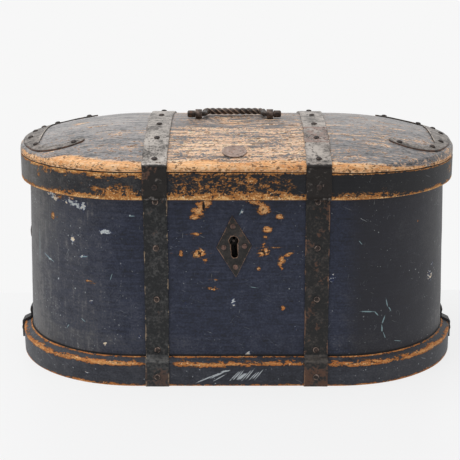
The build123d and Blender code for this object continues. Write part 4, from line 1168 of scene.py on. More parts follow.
@dataclass
class Straps:
    """The flat straps on the front and over the lid."""

    hoops: Hoops
    spacing: float = 189.0 * MM
    thickness: float = 2.2 * MM
    lid_width: float = 29.0 * MM
    body_width: float = 28.0 * MM
    seat: float = 0.05 * MM
    lid_seat: float = 0.1 * MM
    floor_gap: float = 0.5 * MM
    front_top: float = 236.1 * MM
    lid_bottom: float = 228.5 * MM
    dome_radius: float = 438.0 * MM
    edge_level: float = 268.7 * MM
    pin_level: float = 223.0 * MM
    knuckle_middle: float = 3.66 * MM
    knuckle_top: float = 228.4 * MM
    knuckle_share: float = 0.315
    corner_reach: float = 14.0 * MM
    bend: float = 4.5 * MM
    roll_turn: float = math.radians(318)
    step: float = 1.6 * MM

    def front_line(self) -> Array:
        """The front straps' middle line: up the foot hoop, in over its bevel and up the wall.

        Returns:
            The line as (y, z) points.
        """
        hoops, lift = self.hoops, self.seat + self.thickness / 2
        foot_out = hoops.wall_out(0.0) + hoops.foot_gap + hoops.foot_thickness + lift
        bevel_top = hoops.foot_height + 0.8 * MM
        corners = [[foot_out, self.floor_gap], [foot_out, hoops.foot_shoulder + 0.7 * MM],
                   [hoops.wall_out(bevel_top) + lift, bevel_top],
                   [hoops.wall_out(self.front_top) + lift, self.front_top]]
        return refine(round_corners(corners, (2.6 * MM, 3.4 * MM), 6) * [-1.0, 1.0], self.step)

    def lid_line(self) -> tuple[Array, Array]:
        """The lid straps' middle line, from the front of the hoop over the dome to the rolled knuckle.

        Returns:
            The line as (y, z) points, and the share of the full width at each.
        """
        lift = self.lid_seat + self.thickness / 2
        out, radius = self.hoops.hoop_out + lift, self.dome_radius + lift
        centre = self.edge_level - math.sqrt(self.dome_radius**2 - self.hoops.hoop_out**2)
        inner = out - self.corner_reach
        y = np.linspace(-inner, inner, 150)[1:-1]
        over = joined(y, centre + np.sqrt(radius**2 - y**2))
        top_corner = [[place, centre + math.sqrt(radius**2 - place**2)] for place in (-out, -inner)]
        flared = [[-out - 0.7 * MM, self.lid_bottom], [-out, self.lid_bottom + 4.0 * MM]]
        front = round_corners([*flared, *top_corner], [1.5 * MM, self.bend], 9)
        back = (round_corners([[-out, self.lid_bottom], *top_corner], [self.bend], 9) * [-1.0, 1.0])[::-1]
        back[-1, 1] = self.knuckle_top
        turn = np.linspace(math.pi, math.pi + self.roll_turn, 40)
        roll = joined(out + self.knuckle_middle * (1 + np.cos(turn)),
                      self.pin_level + self.knuckle_middle * np.sin(turn))
        leaf = [[out, self.knuckle_top - 0.02 * MM]]
        line = np.concatenate([refine(np.concatenate([front, over, back]), self.step), leaf, roll])
        share = np.ones(len(line))
        share[-len(roll) - 1:] = self.knuckle_share
        return line, share

    def build_front(self, side: Side, finish: Material) -> None:
        """Make the front strap of a side, rusty on the foot hoop and rubbed over its bevel.

        Args:
            side: the side.
            finish: its material.
        """
        line = self.front_line()
        bar = Bar(self.body_width, self.thickness)
        x = side.value * self.spacing / 2
        points, edge, along, across = bar.build(line, x, np.ones(len(line)), 50 + side.value)
        level = points[..., 2]
        on_foot = 1 - rise(20 * MM, 38 * MM, level)
        bevel = bell(level, 33 * MM, 2.6 * MM)
        worn = ripple(joined(along, across * 1.5), 42 * MM, 60 + side.value)
        rusty = 0.42 * on_foot * (1 - bevel) + 0.2 * rise(205 * MM, 232 * MM, level)
        rusty = rusty + 0.24 * worn + 0.2 * edge
        marks = {"edge": edge * (0.58 + 0.30 * worn), "pale": 0.25 * on_foot + 0.45 * bevel, "rusty": rusty}
        surface, node = Surface.grid(points, False, marks), f"front_strap_{side.word}"
        surface.piece(f"painted_{node}", node, Body.CHEST, "painted_strap_iron", [finish])

    def build_over(self, side: Side, finish: Material) -> None:
        """Make the lid strap of a side, paler over the dome than on its upright front, partly from rubbing
        and partly from painted light from above; the right one has two kinks.

        Args:
            side: the side.
            finish: its material.
        """
        line, share = self.lid_line()
        bar = Bar(self.lid_width, self.thickness)
        points, edge, along, across = bar.build(line, side.value * self.spacing / 2, share, 70 + side.value)
        y, z = points[..., 1], points[..., 2].copy()
        upright = 1 - rise(269.0 * MM, 271.2 * MM, z)
        # A painted highlight line along the bends at the front and the back.
        bend = bell(z, 271.6 * MM, 1.0 * MM) * (np.abs(y) > 140 * MM)
        # A painted highlight on the flared foot of the strap at the front.
        lip_highlight = bell(z, 229.6 * MM, 1.5 * MM) * (y < 0)
        worn = ripple(joined(along, across * 1.5), 46 * MM, 80 + side.value)
        rusty = 0.0 * y
        if side is Side.RIGHT:
            kinks = sum(bell(y, place, 1.6 * MM) for place in (-52 * MM, -99 * MM))
            points[..., 2] += 0.55 * MM * kinks * (z > 262 * MM) * (np.abs(across) > 0)
            rusty = 0.5 * kinks + 0.55 * rise(-106 * MM, -97 * MM, y) * (1 - rise(-55 * MM, -46 * MM, y))
        # Pale on top, partly rubbing and partly painted light from above; darker on the upright front as
        # painted shade.
        marks = {"edge": np.maximum(edge * (0.62 - 0.12 * upright), 0.6 * bend),
                 "pale": (1 - upright) * (0.74 + 0.16 * worn) + 0.40 * lip_highlight - 0.16 * upright,
                 "rusty": rusty * (1 - upright) + upright * (0.10 + 0.2 * worn)}
        surface, node = Surface.grid(points, False, marks), f"lid_strap_{side.word}"
        surface.piece(f"worn_{node}", node, Body.LID, "worn_lid_iron", [finish])


@dataclass(frozen=True)
class StudShape:
    """How a forged nail's head is drawn: rings from the crown out to the rim and down the shank."""

    crown: tuple[float, ...] = (0.0, 0.30, 0.55, 0.76, 0.92, 1.0, 1.0, 0.96)
    rise: tuple[float, ...] = (1.0, 0.97, 0.86, 0.68, 0.44, 0.22, 0.08, -0.02)
    facets: float = 0.05
    sectors: int = 22
    shank_share: float = 0.36


@dataclass
class Studs:
    """Nails, disc and boss: round-headed pieces found from the CAD nodes that they stand for."""

    node: str
    shape: StudShape
    seed: int

    def solids(self) -> tuple[Array, Array]:
        """The corners of the CAD node's triangles, and which separate solid each belongs to. Corners in one
        place are one corner, and each round every triangle takes its lowest label until none changes.

        Returns:
            The corners and their labels.
        """
        mesh = frame["nodes"][self.node].data
        flat = np.empty(len(mesh.vertices) * 3, dtype=np.float32)
        mesh.vertices.foreach_get("co", flat)
        mesh.calc_loop_triangles()
        triangles = np.empty(len(mesh.loop_triangles) * 3, dtype=np.int32)
        mesh.loop_triangles.foreach_get("vertices", triangles)
        places = flat.reshape(-1, 3).astype(float)
        rounded = np.round(places / WELD).astype(np.int64)
        _, first, member = np.unique(rounded, axis=0, return_index=True, return_inverse=True)
        triangles = member.reshape(-1)[triangles].reshape(-1, 3)
        labels = np.arange(len(first))
        while True:
            lowest = labels.copy()
            np.minimum.at(lowest, triangles.ravel(), np.repeat(labels[triangles].min(axis=1), 3))
            if np.array_equal(lowest, labels):
                return places[first], labels
            labels = lowest

    def places(self) -> list[tuple[Array, Array, float, float, float]]:
        """Find each solid's direction, the principal axis whose spread differs most from the other two, with
        the head at the wide end.

        Returns:
            Seat, direction, head radius, head height and shank length of each solid.
        """
        corners, labels = self.solids()
        found = []
        for label in np.unique(labels):
            own = corners[labels == label]
            middle = own.mean(axis=0)
            spreads, axes = np.linalg.eigh(np.cov((own - middle).T))
            axis = axes[:, 0] if spreads[1] - spreads[0] > spreads[2] - spreads[1] else axes[:, 2]
            along = (own - middle) @ axis
            radial = np.linalg.norm(own - middle - along[:, None] * axis, axis=1)
            wide = radial > 0.9 * radial.max()
            if along[wide].mean() < (along.max() + along.min()) / 2:
                axis, along = -axis, -along
            seat = along[wide].min()
            found.append((middle + axis * seat, axis, radial.max(), along.max() - seat, seat - along.min()))
        return found

    def build(self, name: str, body: Body, slot: str, finish: Material, grow: float = 1.0) -> None:
        """Draw every head and shank: a point is the seat plus the ring's radius round the axis and its rise
        along it, where each head has its own slow bulges round and its own flat hammer marks.

        Args:
            name: the piece's name.
            body: the body it moves with.
            slot: the record's material slot.
            finish: its material.
            grow: head size as a share of the CAD head's.
        """
        seats, axes, radii, heights, shanks = (np.array(column) for column in zip(*self.places()))
        radii, heights, shanks = (radii * grow)[:, None, None], heights[:, None, None], shanks[:, None, None]
        draw = np.random.default_rng(self.seed)
        turn = np.linspace(0, FULL_TURN, self.shape.sectors, endpoint=False)[None, None, :]
        phase = draw.uniform(0, FULL_TURN, (3, len(seats), 1, 1))
        bulge = sum(np.sin(k * turn + phase[k - 2]) / k for k in (2, 3, 4)) * self.shape.facets
        crown, high = (np.array(rings)[None, :, None] for rings in (self.shape.crown, self.shape.rise))
        lean = 0.10 * crown * np.sin(turn + phase[0]) + 0.05 * crown * np.sin(3 * turn + phase[1])
        shank = radii * self.shape.shank_share * np.array([1.0, 0.8, 0.0])[None, :, None] + 0 * turn
        down = -shanks * np.array([0.02, 0.98, 0.98])[None, :, None] + 0 * turn
        ring = np.concatenate([radii * crown * (1 + bulge), shank], axis=1)
        up = np.concatenate([heights * (high + lean * (high > 0.1)), down], axis=1)
        helper = np.where(np.abs(axes[:, :1]) < 0.7, np.array([[1.0, 0, 0]]), np.array([[0, 1.0, 0]]))
        first = unit(np.cross(axes, helper))
        second = np.cross(axes, first)
        parts = ((seats, np.ones_like(up)), (axes, up), (first, ring * np.cos(turn)),
                 (second, ring * np.sin(turn)))
        points = sum(part[:, None, None, :] * size[..., None] for part, size in parts)
        rim = np.concatenate([np.array(self.shape.crown), np.ones(3)])
        inward = np.repeat((1 - rim**2)[:, None], self.shape.sectors, axis=1)
        # A lighter ring round each head's shoulder is a painted highlight; the centre is rusty.
        marks = {"edge": 0.85 * bell(inward, 0.45, 0.25), "rusty": 0.30 * (inward > 0.75)}
        one = Surface.grid(points[0], False, marks)
        faces = one.faces + len(one.points) * np.arange(len(points))[:, None, None]
        marks = {mark: np.tile(values, len(points)) for mark, values in one.marks.items()}
        surface = Surface(points.reshape(-1, 3), faces.reshape(-1, 4), marks)
        surface.piece(name, self.node, body, slot, [finish])


@dataclass(frozen=True)
class Plate:
    """A thin iron plate between an inner and an outer outline, with softened upper edges."""

    thickness: float = 1.8 * MM
    soft: float = 0.5 * MM
    top_steps: int = 22

    def section(self, inner: Array, outer: Array) -> tuple[Array, Array, Array, Array]:
        """Carry the section along both outlines. A point lies on the line between them, at a share of the way
        plus an inset from the nearer edge; insets and drops round both upper edges.

        Args:
            inner: points of the inner outline, in plan.
            outer: as many points of the outer one.

        Returns:
            Points in plan, their heights, and their distances from the inner and the outer edge.
        """
        gap = outer - inner
        width = np.linalg.norm(gap, axis=1, keepdims=True)
        rounding = np.minimum(self.soft, 0.3 * width)
        top = np.linspace(0.0, 1.0, self.top_steps)
        share = np.array([0.0, 0.0, 0.0, *top, 1.0, 1.0, 1.0, 0.67, 0.33])
        inset = np.array([0.0, 0.0, 0.3, *(1.0 - 2.0 * top), -0.3, 0.0, 0.0, 0.0, 0.0])
        drop = np.array([0.0, 1.0, 0.3, *(0.0 * top), 0.3, 1.0, 0.0, 0.0, 0.0])
        stands = np.array([0.0, 1.0, 1.0, *np.ones(self.top_steps), 1.0, 1.0, 0.0, 0.0, 0.0])
        from_inner = share * width + inset * rounding
        plan = inner[:, None] + (gap / width)[:, None] * from_inner[..., None]
        return plan, stands * self.thickness - drop * rounding, from_inner, width - from_inner


@dataclass(frozen=True)
class Crescent:
    """The horned plate on each end of the lid, lying on the ball-shaped end of the board."""

    half_straight: float = 120.0 * MM
    out: float = 145.5 * MM
    arm_radius: float = 40.5 * MM
    arm_width: float = 11.5 * MM
    corner: float = math.radians(30.0)
    tip: float = math.radians(38.02)
    ball_radius: float = 438.1 * MM
    ball_level: float = -142.81 * MM
    plate: Plate = Plate()

    def outlines(self) -> list[Array]:
        """The right plate in plan. Along an arm both outlines turn about the arm's centre and towards the tip
        they close in on a half circle. Past the arm the inner one finishes its turn and runs straight, while
        the outer one follows the lid's end.

        Returns:
            The inner and the outer outline, from the front tip to the back tip.
        """
        reach = self.out - self.arm_radius
        centre = np.array([self.half_straight + reach * math.cos(self.corner), reach * math.sin(self.corner)])
        half, bend = self.arm_width / 2, self.arm_radius - self.arm_width
        turn = np.linspace(self.tip, math.pi - self.corner, 70)
        from_tip = np.clip(half - (turn - self.tip) * (self.arm_radius - half), 0.0, half)
        sink = 0.999 * (half - np.sqrt(half**2 - from_tip**2))
        heading = joined(-np.cos(turn), np.sin(turn))
        share = np.linspace(0.0, 1.0, 60)[1:]
        travelled = share * (bend * self.corner + centre[1])
        turned = math.pi - self.corner + np.minimum(travelled / bend, self.corner)
        slid = np.maximum(travelled - bend * self.corner, 0.0)
        angle = self.corner * (1 - share)
        inner_end = centre + joined(-np.cos(turned) * bend, np.sin(turned) * bend - slid)
        outer_end = self.out * joined(np.cos(angle), np.sin(angle)) + [self.half_straight, 0.0]
        back = [np.concatenate([centre + heading * (bend + sink)[:, None], inner_end]),
                np.concatenate([centre + heading * (self.arm_radius - sink)[:, None], outer_end])]
        return [np.concatenate([line * [1.0, -1.0], line[-2::-1]]) for line in back]

    def build(self, side: Side, finish: Material) -> None:
        """Lay the plate on the board: the height is the ball's, raised by the section's own height.

        Args:
            side: the end of the lid.
            finish: its material.
        """
        plan, high, from_inner, from_outer = self.plate.section(*self.outlines())
        x, y = plan[..., 0], plan[..., 1]
        out = np.hypot(np.maximum(x - self.half_straight, 0.0), y)
        dent = 0.10 * MM * (ripple(plan, 22 * MM, 130 + side.value) - 1.0)
        dent = dent * (high > 0.5 * self.plate.thickness)
        z = self.ball_level + np.sqrt((self.ball_radius + high + dent) ** 2 - out**2)
        points = joined(side.value * x, y, z)
        poles = [np.broadcast_to(points[row].mean(axis=0), points[:1].shape) for row in (0, -1)]
        straight = 1 - rise(44 * MM, 58 * MM, np.abs(y))
        worn = ripple(plan, 16 * MM, 140 + side.value) * 0.5 + ripple(plan, 7 * MM, 143 + side.value) * 0.4
        # A cream line along the inner edge: painted highlight.
        line = bell(from_inner, 0.0, 1.5 * MM) * (0.30 + 0.75 * straight)
        # Darker along the outer edge: painted shade at the plate's rim, with some rust.
        rim = bell(from_outer, 0.0, 1.2 * MM)
        # The standing side faces are painted dark as shade, with some rust.
        shaded_side = 1.0 * (high < 0.85 * self.plate.thickness)
        marks = {"pale": 0.16 * worn + 0.2 * line - 1.6 * shaded_side - 0.25 * rim,
                 "edge": (line + 0.25 * worn * line) * (1 - shaded_side),
                 "rusty": 0.22 * worn + 0.25 * rim + 0.3 * shaded_side - 0.4 * line}
        marks = {name: np.concatenate([value[:1], value, value[-1:]]) for name, value in marks.items()}
        surface = Surface.grid(np.concatenate([poles[0], points, poles[1]]), False, marks)
        node = f"end_plate_{side.word}"
        surface.piece(f"worn_{node}", node, Body.LID, "worn_lid_iron", [finish])


@dataclass(frozen=True)
class LockPlate:
    """The lozenge plate on the sloping front wall, a little askew, with its keyhole."""

    hoops: Hoops
    middle_x: float = -3.0 * MM
    middle_level: float = 170.0 * MM
    half_width: float = 20.75 * MM
    half_height: float = 37.5 * MM
    tilt: float = math.radians(3.5)
    head_radius: float = 5.5 * MM
    head_rise: float = 7.0 * MM
    slot_half: float = 3.75 * MM
    slot_drop: float = 13.6 * MM
    seat: float = 0.05 * MM
    sectors: int = 180
    plate: Plate = Plate(soft=0.55 * MM, top_steps=26)

    def circle_reach(self, angle: Array, up: float, radius: float) -> Array:
        """How far it is from the plate's middle to the far side of a circle above or below it: the larger
        root of the line's meeting with the circle, or nothing where it misses.

        Args:
            angle: directions from the middle.
            up: how far the circle's centre lies above the middle.
            radius: the circle's.

        Returns:
            One distance for each angle.
        """
        along = up * np.sin(angle)
        under_root = radius**2 - up**2 + along**2
        return np.where(under_root > 0, along + np.sqrt(np.maximum(under_root, 0.0)), 0.0)

    def outlines(self) -> tuple[Array, Array]:
        """Both edges of the plate as distances from its middle over an angle.

        Returns:
            The keyhole's outline, the furthest of head, slot and foot at each angle, and the lozenge's.
        """
        angle = np.linspace(0.0, FULL_TURN, self.sectors, endpoint=False)
        cosine, sine = np.cos(angle), np.sin(angle)
        foot = self.slot_drop - self.slot_half
        wall = self.slot_half / np.maximum(np.abs(cosine), 1e-6)
        wall = np.where((wall * sine > -foot) & (wall * sine < self.head_rise), wall, 0.0)
        hole = np.maximum.reduce([wall, self.circle_reach(angle, self.head_rise, self.head_radius),
                                  self.circle_reach(angle, -foot, self.slot_half)])
        edge = 1.0 / (np.abs(cosine) / self.half_width + np.abs(sine) / self.half_height)
        heading = joined(cosine, sine)
        return heading * hole[:, None], heading * edge[:, None]

    def build(self, finish: Material) -> None:
        """Set the plate on the wall, across and up along its own tilted axes and out along the wall's normal.

        Args:
            finish: its material.
        """
        plan, high, from_inner, from_outer = self.plate.section(*self.outlines())
        slope = self.hoops.flare / (self.hoops.joint_level - self.hoops.wall_gap)
        up = np.array([0.0, slope, 1.0]) / math.hypot(1.0, slope)
        outward = np.array([0.0, -1.0, slope]) / math.hypot(1.0, slope)
        right = np.array([1.0, 0.0, 0.0])
        across = right * math.cos(self.tilt) + up * math.sin(self.tilt)
        above = up * math.cos(self.tilt) - right * math.sin(self.tilt)
        middle = np.array([self.middle_x, -self.hoops.wall_out(self.middle_level), self.middle_level])
        dent = 0.12 * MM * (ripple(plan, 18 * MM, 150) - 1.0) * (high > 0.5 * self.plate.thickness)
        points = (middle + plan[..., :1] * across + plan[..., 1:] * above
                  + (high + dent + self.seat)[..., None] * outward)
        worn = ripple(plan, 20 * MM, 151) * 0.5 + ripple(plan, 8 * MM, 152) * 0.4
        rim, border = bell(from_inner, 0.0, 1.5 * MM), bell(from_outer, 0.0, 1.1 * MM)
        upper = np.clip(plan[..., 1] / self.half_height, -0.5, 1.0)
        lit = np.maximum(0.92 * rim, 0.88 * border) + 0.25 * worn * bell(from_outer, 0.0, 4.5 * MM)
        marks = {"edge": lit, "pale": 0.16 * worn, "rusty": 0.18 * worn + 0.30 * upper + 0.25 * rim}
        surface = Surface.grid(points, True, marks)
        surface.piece("worn_lock_plate", "escutcheon", Body.CHEST, "dark_forged_iron", [finish])


@dataclass
class Bail:
    """The carrying handle: a round bar through both eyes, with a square twisted grip and knobbed ends."""

    pivot: Array
    fall: float
    span: float = 73.0 * MM
    arm: float = 28.0 * MM
    bar_radius: float = 2.95 * MM
    bend: float = 4.5 * MM
    corner: float = 8.0 * MM
    grip_side: float = 6.5 * MM
    grip_turns: float = 2.4
    knob_radius: float = 4.35 * MM
    knob_length: float = 9.5 * MM
    knob_round: float = 2.0 * MM
    end: float = 58.45 * MM
    round_power: float = 2.0
    square_power: float = 7.0
    sectors: int = 40

    def build(self, finish: Material) -> None:
        """Carry the section along the bent line. A section's radius at an angle is its half width divided by
        the root of the summed powers of cosine and sine, a circle at power two and a square at a high one,
        and it turns evenly along the grip.

        Args:
            finish: its material.
        """
        half = self.span / 2
        corners = [[-self.end, 0.0], [-half, 0.0], [-half, self.arm],
                   [half, self.arm], [half, 0.0], [self.end, 0.0]]
        route = round_corners(corners, (self.bend, self.corner, self.corner, self.bend), 12)
        length = running_length(route)
        total = length[-1]
        near = np.array([0.0, 0.0, 0.25, 0.7, 1.3, 2.0, 4.0, 6.0, 8.0, 9.0, 9.4, 9.5]) * MM
        stations = np.concatenate([near, np.linspace(9.9 * MM, total - 9.9 * MM, 230), (total - near)[::-1]])
        slopes = unit(np.gradient(route, axis=0))
        place, tangent = (joined(*(np.interp(stations, length, line[:, axis]) for axis in (0, 1)))
                          for line in (route, slopes))
        tangent = unit(tangent)
        from_end = np.minimum(stations, total - stations)
        rounding = np.clip(self.knob_round - from_end, 0.0, self.knob_round)
        knob = self.knob_radius - self.knob_round + np.sqrt(self.knob_round**2 - rounding**2)
        on_grip = rise(self.arm * 0.35, self.arm * 0.6, place[:, 1])
        plain = self.bar_radius * (1 + 0.02 * ripple(stations[:, None], 12 * MM, 90))
        size = np.where(from_end <= self.knob_length, knob, plain + (self.grip_side / 2 - plain) * on_grip)
        size[[0, -1]] = 0.0
        size, on_grip, from_end = size[:, None], on_grip[:, None], from_end[:, None]
        power = self.round_power + (self.square_power - self.round_power) * on_grip**3
        angle = np.linspace(0, FULL_TURN, self.sectors, endpoint=False)[None, :]
        own = angle - (FULL_TURN * self.grip_turns * (stations - total / 2) / self.span)[:, None]
        radius = size / (np.abs(np.cos(own)) ** power + np.abs(np.sin(own)) ** power) ** (1 / power)
        skin = joined(stations[:, None] + 0 * own, 3 * MM * np.cos(angle))
        radius = radius * (1 + 0.012 * ripple(skin, 7 * MM, 91))
        flat_x = place[:, :1] - radius * np.cos(angle) * tangent[:, 1:]
        flat_t = place[:, 1:] + radius * np.cos(angle) * tangent[:, :1]
        high = radius * np.sin(angle)
        cosine, sine = math.cos(self.fall), math.sin(self.fall)
        y, z = flat_t * cosine + high * sine, high * cosine - flat_t * sine
        points = self.pivot + joined(flat_x, y, z)
        ridge = rise(1.08, 1.24, radius / np.maximum(size, 1e-6)) * on_grip
        knob_edge = bell(from_end, 9.4 * MM, 1.2 * MM) + 0 * ridge
        at_knob = 1 - rise(10 * MM, 13 * MM, from_end) + 0 * ridge
        marks = {"edge": np.maximum(ridge * 0.9, knob_edge * 0.6), "pale": ridge * 0.3 + at_knob * 0.22,
                 "rusty": 0.1 + 0.28 * at_knob}
        surface = Surface.grid(points, False, marks)
        surface.piece("forged_bail", "handle_bail", Body.HANDLE, "dark_forged_iron", [finish])


@dataclass
class Studio:
    """The plain pale table, the white surroundings, the lamp and the camera."""

    camera_place: Colour = (0.0, -1.5765, 0.5936)
    pitch: float = 15.7
    lens: float = 100.09
    sensor: float = 36.0
    shift: float = -0.0145
    half_width: float = 3.0
    table_end: float = 0.2035
    table_skew: float = 0.062
    table_lift: float = 0.84
    table_colours: tuple[Colour, Colour] = ((0.90, 0.905, 0.91), (0.885, 0.89, 0.90))
    ground: Colour = (0.9, 0.9, 0.9)
    white: Colour = (0.93, 0.93, 0.93)
    mirrored_front: Colour = (0.22, 0.22, 0.23)
    sky: Colour = (0.60, 0.60, 0.612)
    lamp_place: Colour = (-0.55, -0.25, 1.75)
    lamp_aim: Colour = (0.0, 0.0, 0.2)
    lamp_size: float = 1.2
    lamp_watts: float = 15.0

    def link(self, name: str, data: Any) -> bpy.types.Object:
        """A new object of the scene with the data given.

        Args:
            name: its name.
            data: what it shows.

        Returns:
            The object.
        """
        made = bpy.data.objects.new(name, data)
        bpy.context.scene.collection.objects.link(made)
        return made

    def camera(self) -> None:
        """The photograph's camera."""
        data = bpy.data.cameras.new("photo_camera")
        data.lens, data.sensor_width, data.shift_x = self.lens, self.sensor, self.shift
        made = self.link("photo_camera", data)
        made.location = self.camera_place
        made.rotation_euler = (math.radians(90 - self.pitch), 0.0, 0.0)
        bpy.context.scene.camera = made

    def sheet(self, name: str, near: Array, far: Array, finish: Material) -> None:
        """A level sheet of the surroundings at floor height.

        Args:
            name: its name.
            near: y of its front edge at the left and at the right.
            far: y of its back edge at the left and at the right.
            finish: its material.
        """
        w = self.half_width
        mesh = bpy.data.meshes.new(name)
        corners = [(-w, near[0], 0.0), (w, near[1], 0.0), (w, far[1], 0.0), (-w, far[0], 0.0)]
        mesh.from_pydata(corners, [], [(0, 1, 2, 3)])
        mesh.materials.append(finish)
        self.link(name, mesh)

    def is_seen(self, f: Finish) -> Value:
        """1 on rays of the camera, and on those that a gloss or a clear piece sends out.

        Args:
            f: the finish that asks.

        Returns:
            1 or 0.
        """
        path = f.node("ShaderNodeLightPath")
        kinds = ("Is Camera Ray", "Is Glossy Ray", "Is Transmission Ray")
        rays = [Value(f, path.outputs[kind]) for kind in kinds]
        return rays[0].most(rays[1]).most(rays[2])

    def lifted(self, f: Finish, shade: Value, share: Value) -> None:
        """Show a shader with a share of plain white over it."""
        glow = f.output("ShaderNodeEmission", None, {"Color": self.white, "Strength": 1.0})
        f.show(f.output("ShaderNodeMixShader", None, {0: share, 1: shade, 2: glow}))

    def table(self) -> None:
        """The table, and beyond its back edge the white ground that still takes the shadow."""
        edge = np.array([self.table_end - self.table_skew, self.table_end + self.table_skew])
        f = Finish("pale_table")
        grain = f.noise(3.0, 3.0)
        top = f.mix(*self.table_colours, (grain * 0.5 + 0.3).rise(0.0, 1.0))
        f.finished(top, 0.34 + grain * 0.02, grain, 0.01 * MM, specular=0.3)
        output = next(node for node in f.tree.nodes if node.bl_idname == "ShaderNodeOutputMaterial")
        self.lifted(f, Value(f, output.inputs[0].links[0].from_socket), self.is_seen(f) * self.table_lift)
        self.sheet("table", np.full(2, -self.half_width), edge, f.material)
        f = Finish("white_ground")
        self.lifted(f, f.output("ShaderNodeBsdfDiffuse", None, {"Color": self.ground}), self.is_seen(f))
        self.sheet("white_ground", edge, np.full(2, 2 * self.half_width), f.material)

    def world(self) -> None:
        """An even sky for the light; what is seen or mirrored is white, and greyer in front of the chest."""
        f = Finish("studio", "Generated", bpy.data.worlds.new("studio"))
        bpy.context.scene.world = f.material
        split = f.node("ShaderNodeSeparateXYZ", None, {0: f.place})
        behind = Value(f, split.outputs["Y"]).rise(-0.9, 0.0)
        above = Value(f, split.outputs["Z"]).rise(0.35, 0.9)
        mirrored = f.mix(self.mirrored_front, self.white, behind.most(above))
        seen = f.mix(self.white, mirrored, f.output("ShaderNodeLightPath", which="Is Glossy Ray"))
        colour = f.mix(self.sky, seen, self.is_seen(f))
        shown = f.output("ShaderNodeBackground", None, {"Color": colour, "Strength": 1.0})
        f.show(shown, "ShaderNodeOutputWorld")

    def lamp(self) -> None:
        """A square soft lamp over the chest, aimed at its middle."""
        data = bpy.data.lights.new("overhead_softbox", "AREA")
        data.shape, data.size, data.energy = "SQUARE", self.lamp_size, self.lamp_watts
        made = self.link("overhead_softbox", data)
        away = np.array(self.lamp_place) - np.array(self.lamp_aim)
        made.location = self.lamp_place
        tip, heading = math.atan2(math.hypot(away[0], away[1]), away[2]), math.atan2(away[1], away[0])
        made.rotation_euler = (tip, 0.0, heading + RIGHT_ANGLE)

    def build(self) -> None:
        """Set up everything round the chest."""
        self.camera()
        self.table()
        self.world()
        self.lamp()
        bpy.context.scene.view_settings.view_transform = "Standard"


@dataclass
class Joinery:
    """The wooden pieces: wall, hoops, board and what stays bare inside."""

    oval: Oval
    hoops: Hoops
    scrapes: tuple[tuple[float, ...], ...] = ((158, 86.4, 22, 1.9, -5), (170, 83, 9, 1.9, -46),
        (184.6, 94.6, 13, 1.8, -76), (189, 86.5, 9, 1.8, -58), (180.4, 74, 13, 2.2, 68),
        (178.4, 63, 12, 2.6, -84), (182, 54, 12, 1.2, -68), (203, 43.5, 14, 1, -14),
        (-252, 140, 30, 1.6, -15), (-276, 150, 60, 1.4, 88), (-187, 151.5, 13, 2, 6),
        (-122, 204.7, 9, 1.4, 2), (20, 118, 12, 0.9, -8), (5, 209.5, 9, 1.3, 64), (-215, 60, 10, 1.3, 52),
        (-190, 72, 9, 1.3, -35), (-150, 130, 10, 1.1, 70), (147, 172, 8, 1.1, -48))
    smears: tuple[tuple[float, ...], ...] = ((-34, 20.6, 40, 1.8, 24), (-22, 24.8, 26, 2.4, 27),
        (-14, 29, 14, 2.4, 10), (-20, 21, 22, 1.3, 31), (6, 22, 15, 5, 38))

    def build(self) -> None:
        """Make the finishes and the pieces, and dress the CAD nodes that stay bare."""
        paint = BentPaint("worn_blue_paint", strokes=tuple(Stroke(*row) for row in self.scrapes)).material()
        hoop_paint = BentPaint("worn_hoop_paint", black=(0.004, 0.004, 0.006), deep=(0.011, 0.012, 0.017),
            lighter=(0.027, 0.028, 0.034), faded=(0.115, 0.105, 0.094), dull=(0.008, 0.008, 0.010),
            orange=(0.40, 0.155, 0.035), tan=(0.80, 0.44, 0.16), scratch_gain=0.55, speck_low=0.84,
            tear_gain=0.16, crumb_gain=0.40, tone=0.37, freshness=-0.16).material()
        slanted = tuple(
            Stroke(-3.0 + 3.7 * k, 22.6 + 1.1 * (k % 3), 21.0 - 2.0 * (k % 4), 1.3 + 0.4 * (k % 2),
                   47.0 + 3.0 * (k % 3)) for k in range(9))
        foot_paint = BentPaint("worn_foot_paint", deep=(0.020, 0.022, 0.032),
            lighter=(0.036, 0.040, 0.055), faded=(0.075, 0.076, 0.082), orange=(0.46, 0.155, 0.035),
            tan=(0.72, 0.34, 0.11), chalk=(0.70, 0.76, 0.78), speck_low=0.95, freshness=-0.08,
            strokes=slanted + tuple(Stroke(*row) for row in self.smears),
            stroke_colour=(0.78, 0.84, 0.86)).material()
        inside = BarePine("aged_pine_inside", "UV", (9.0, 160.0, 1.0)).material()
        board_inside = BarePine("aged_pine_board", "Object", (9.0, 160.0, 160.0)).material()
        self.hoops.build_wall(paint, inside)
        self.hoops.build_foot(foot_paint)
        self.hoops.build_lid_hoop(hoop_paint, inside)
        ridge = float(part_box("lid_board")[1][2])
        board = LidBoard(self.oval, self.hoops.joint_level, self.hoops.hoop_out, ridge)
        board.build(BoardPaint("worn_board_paint").material(), board_inside)
        dress(board_inside, "bottom_board", "bottom_pegs", "lid_dowels")


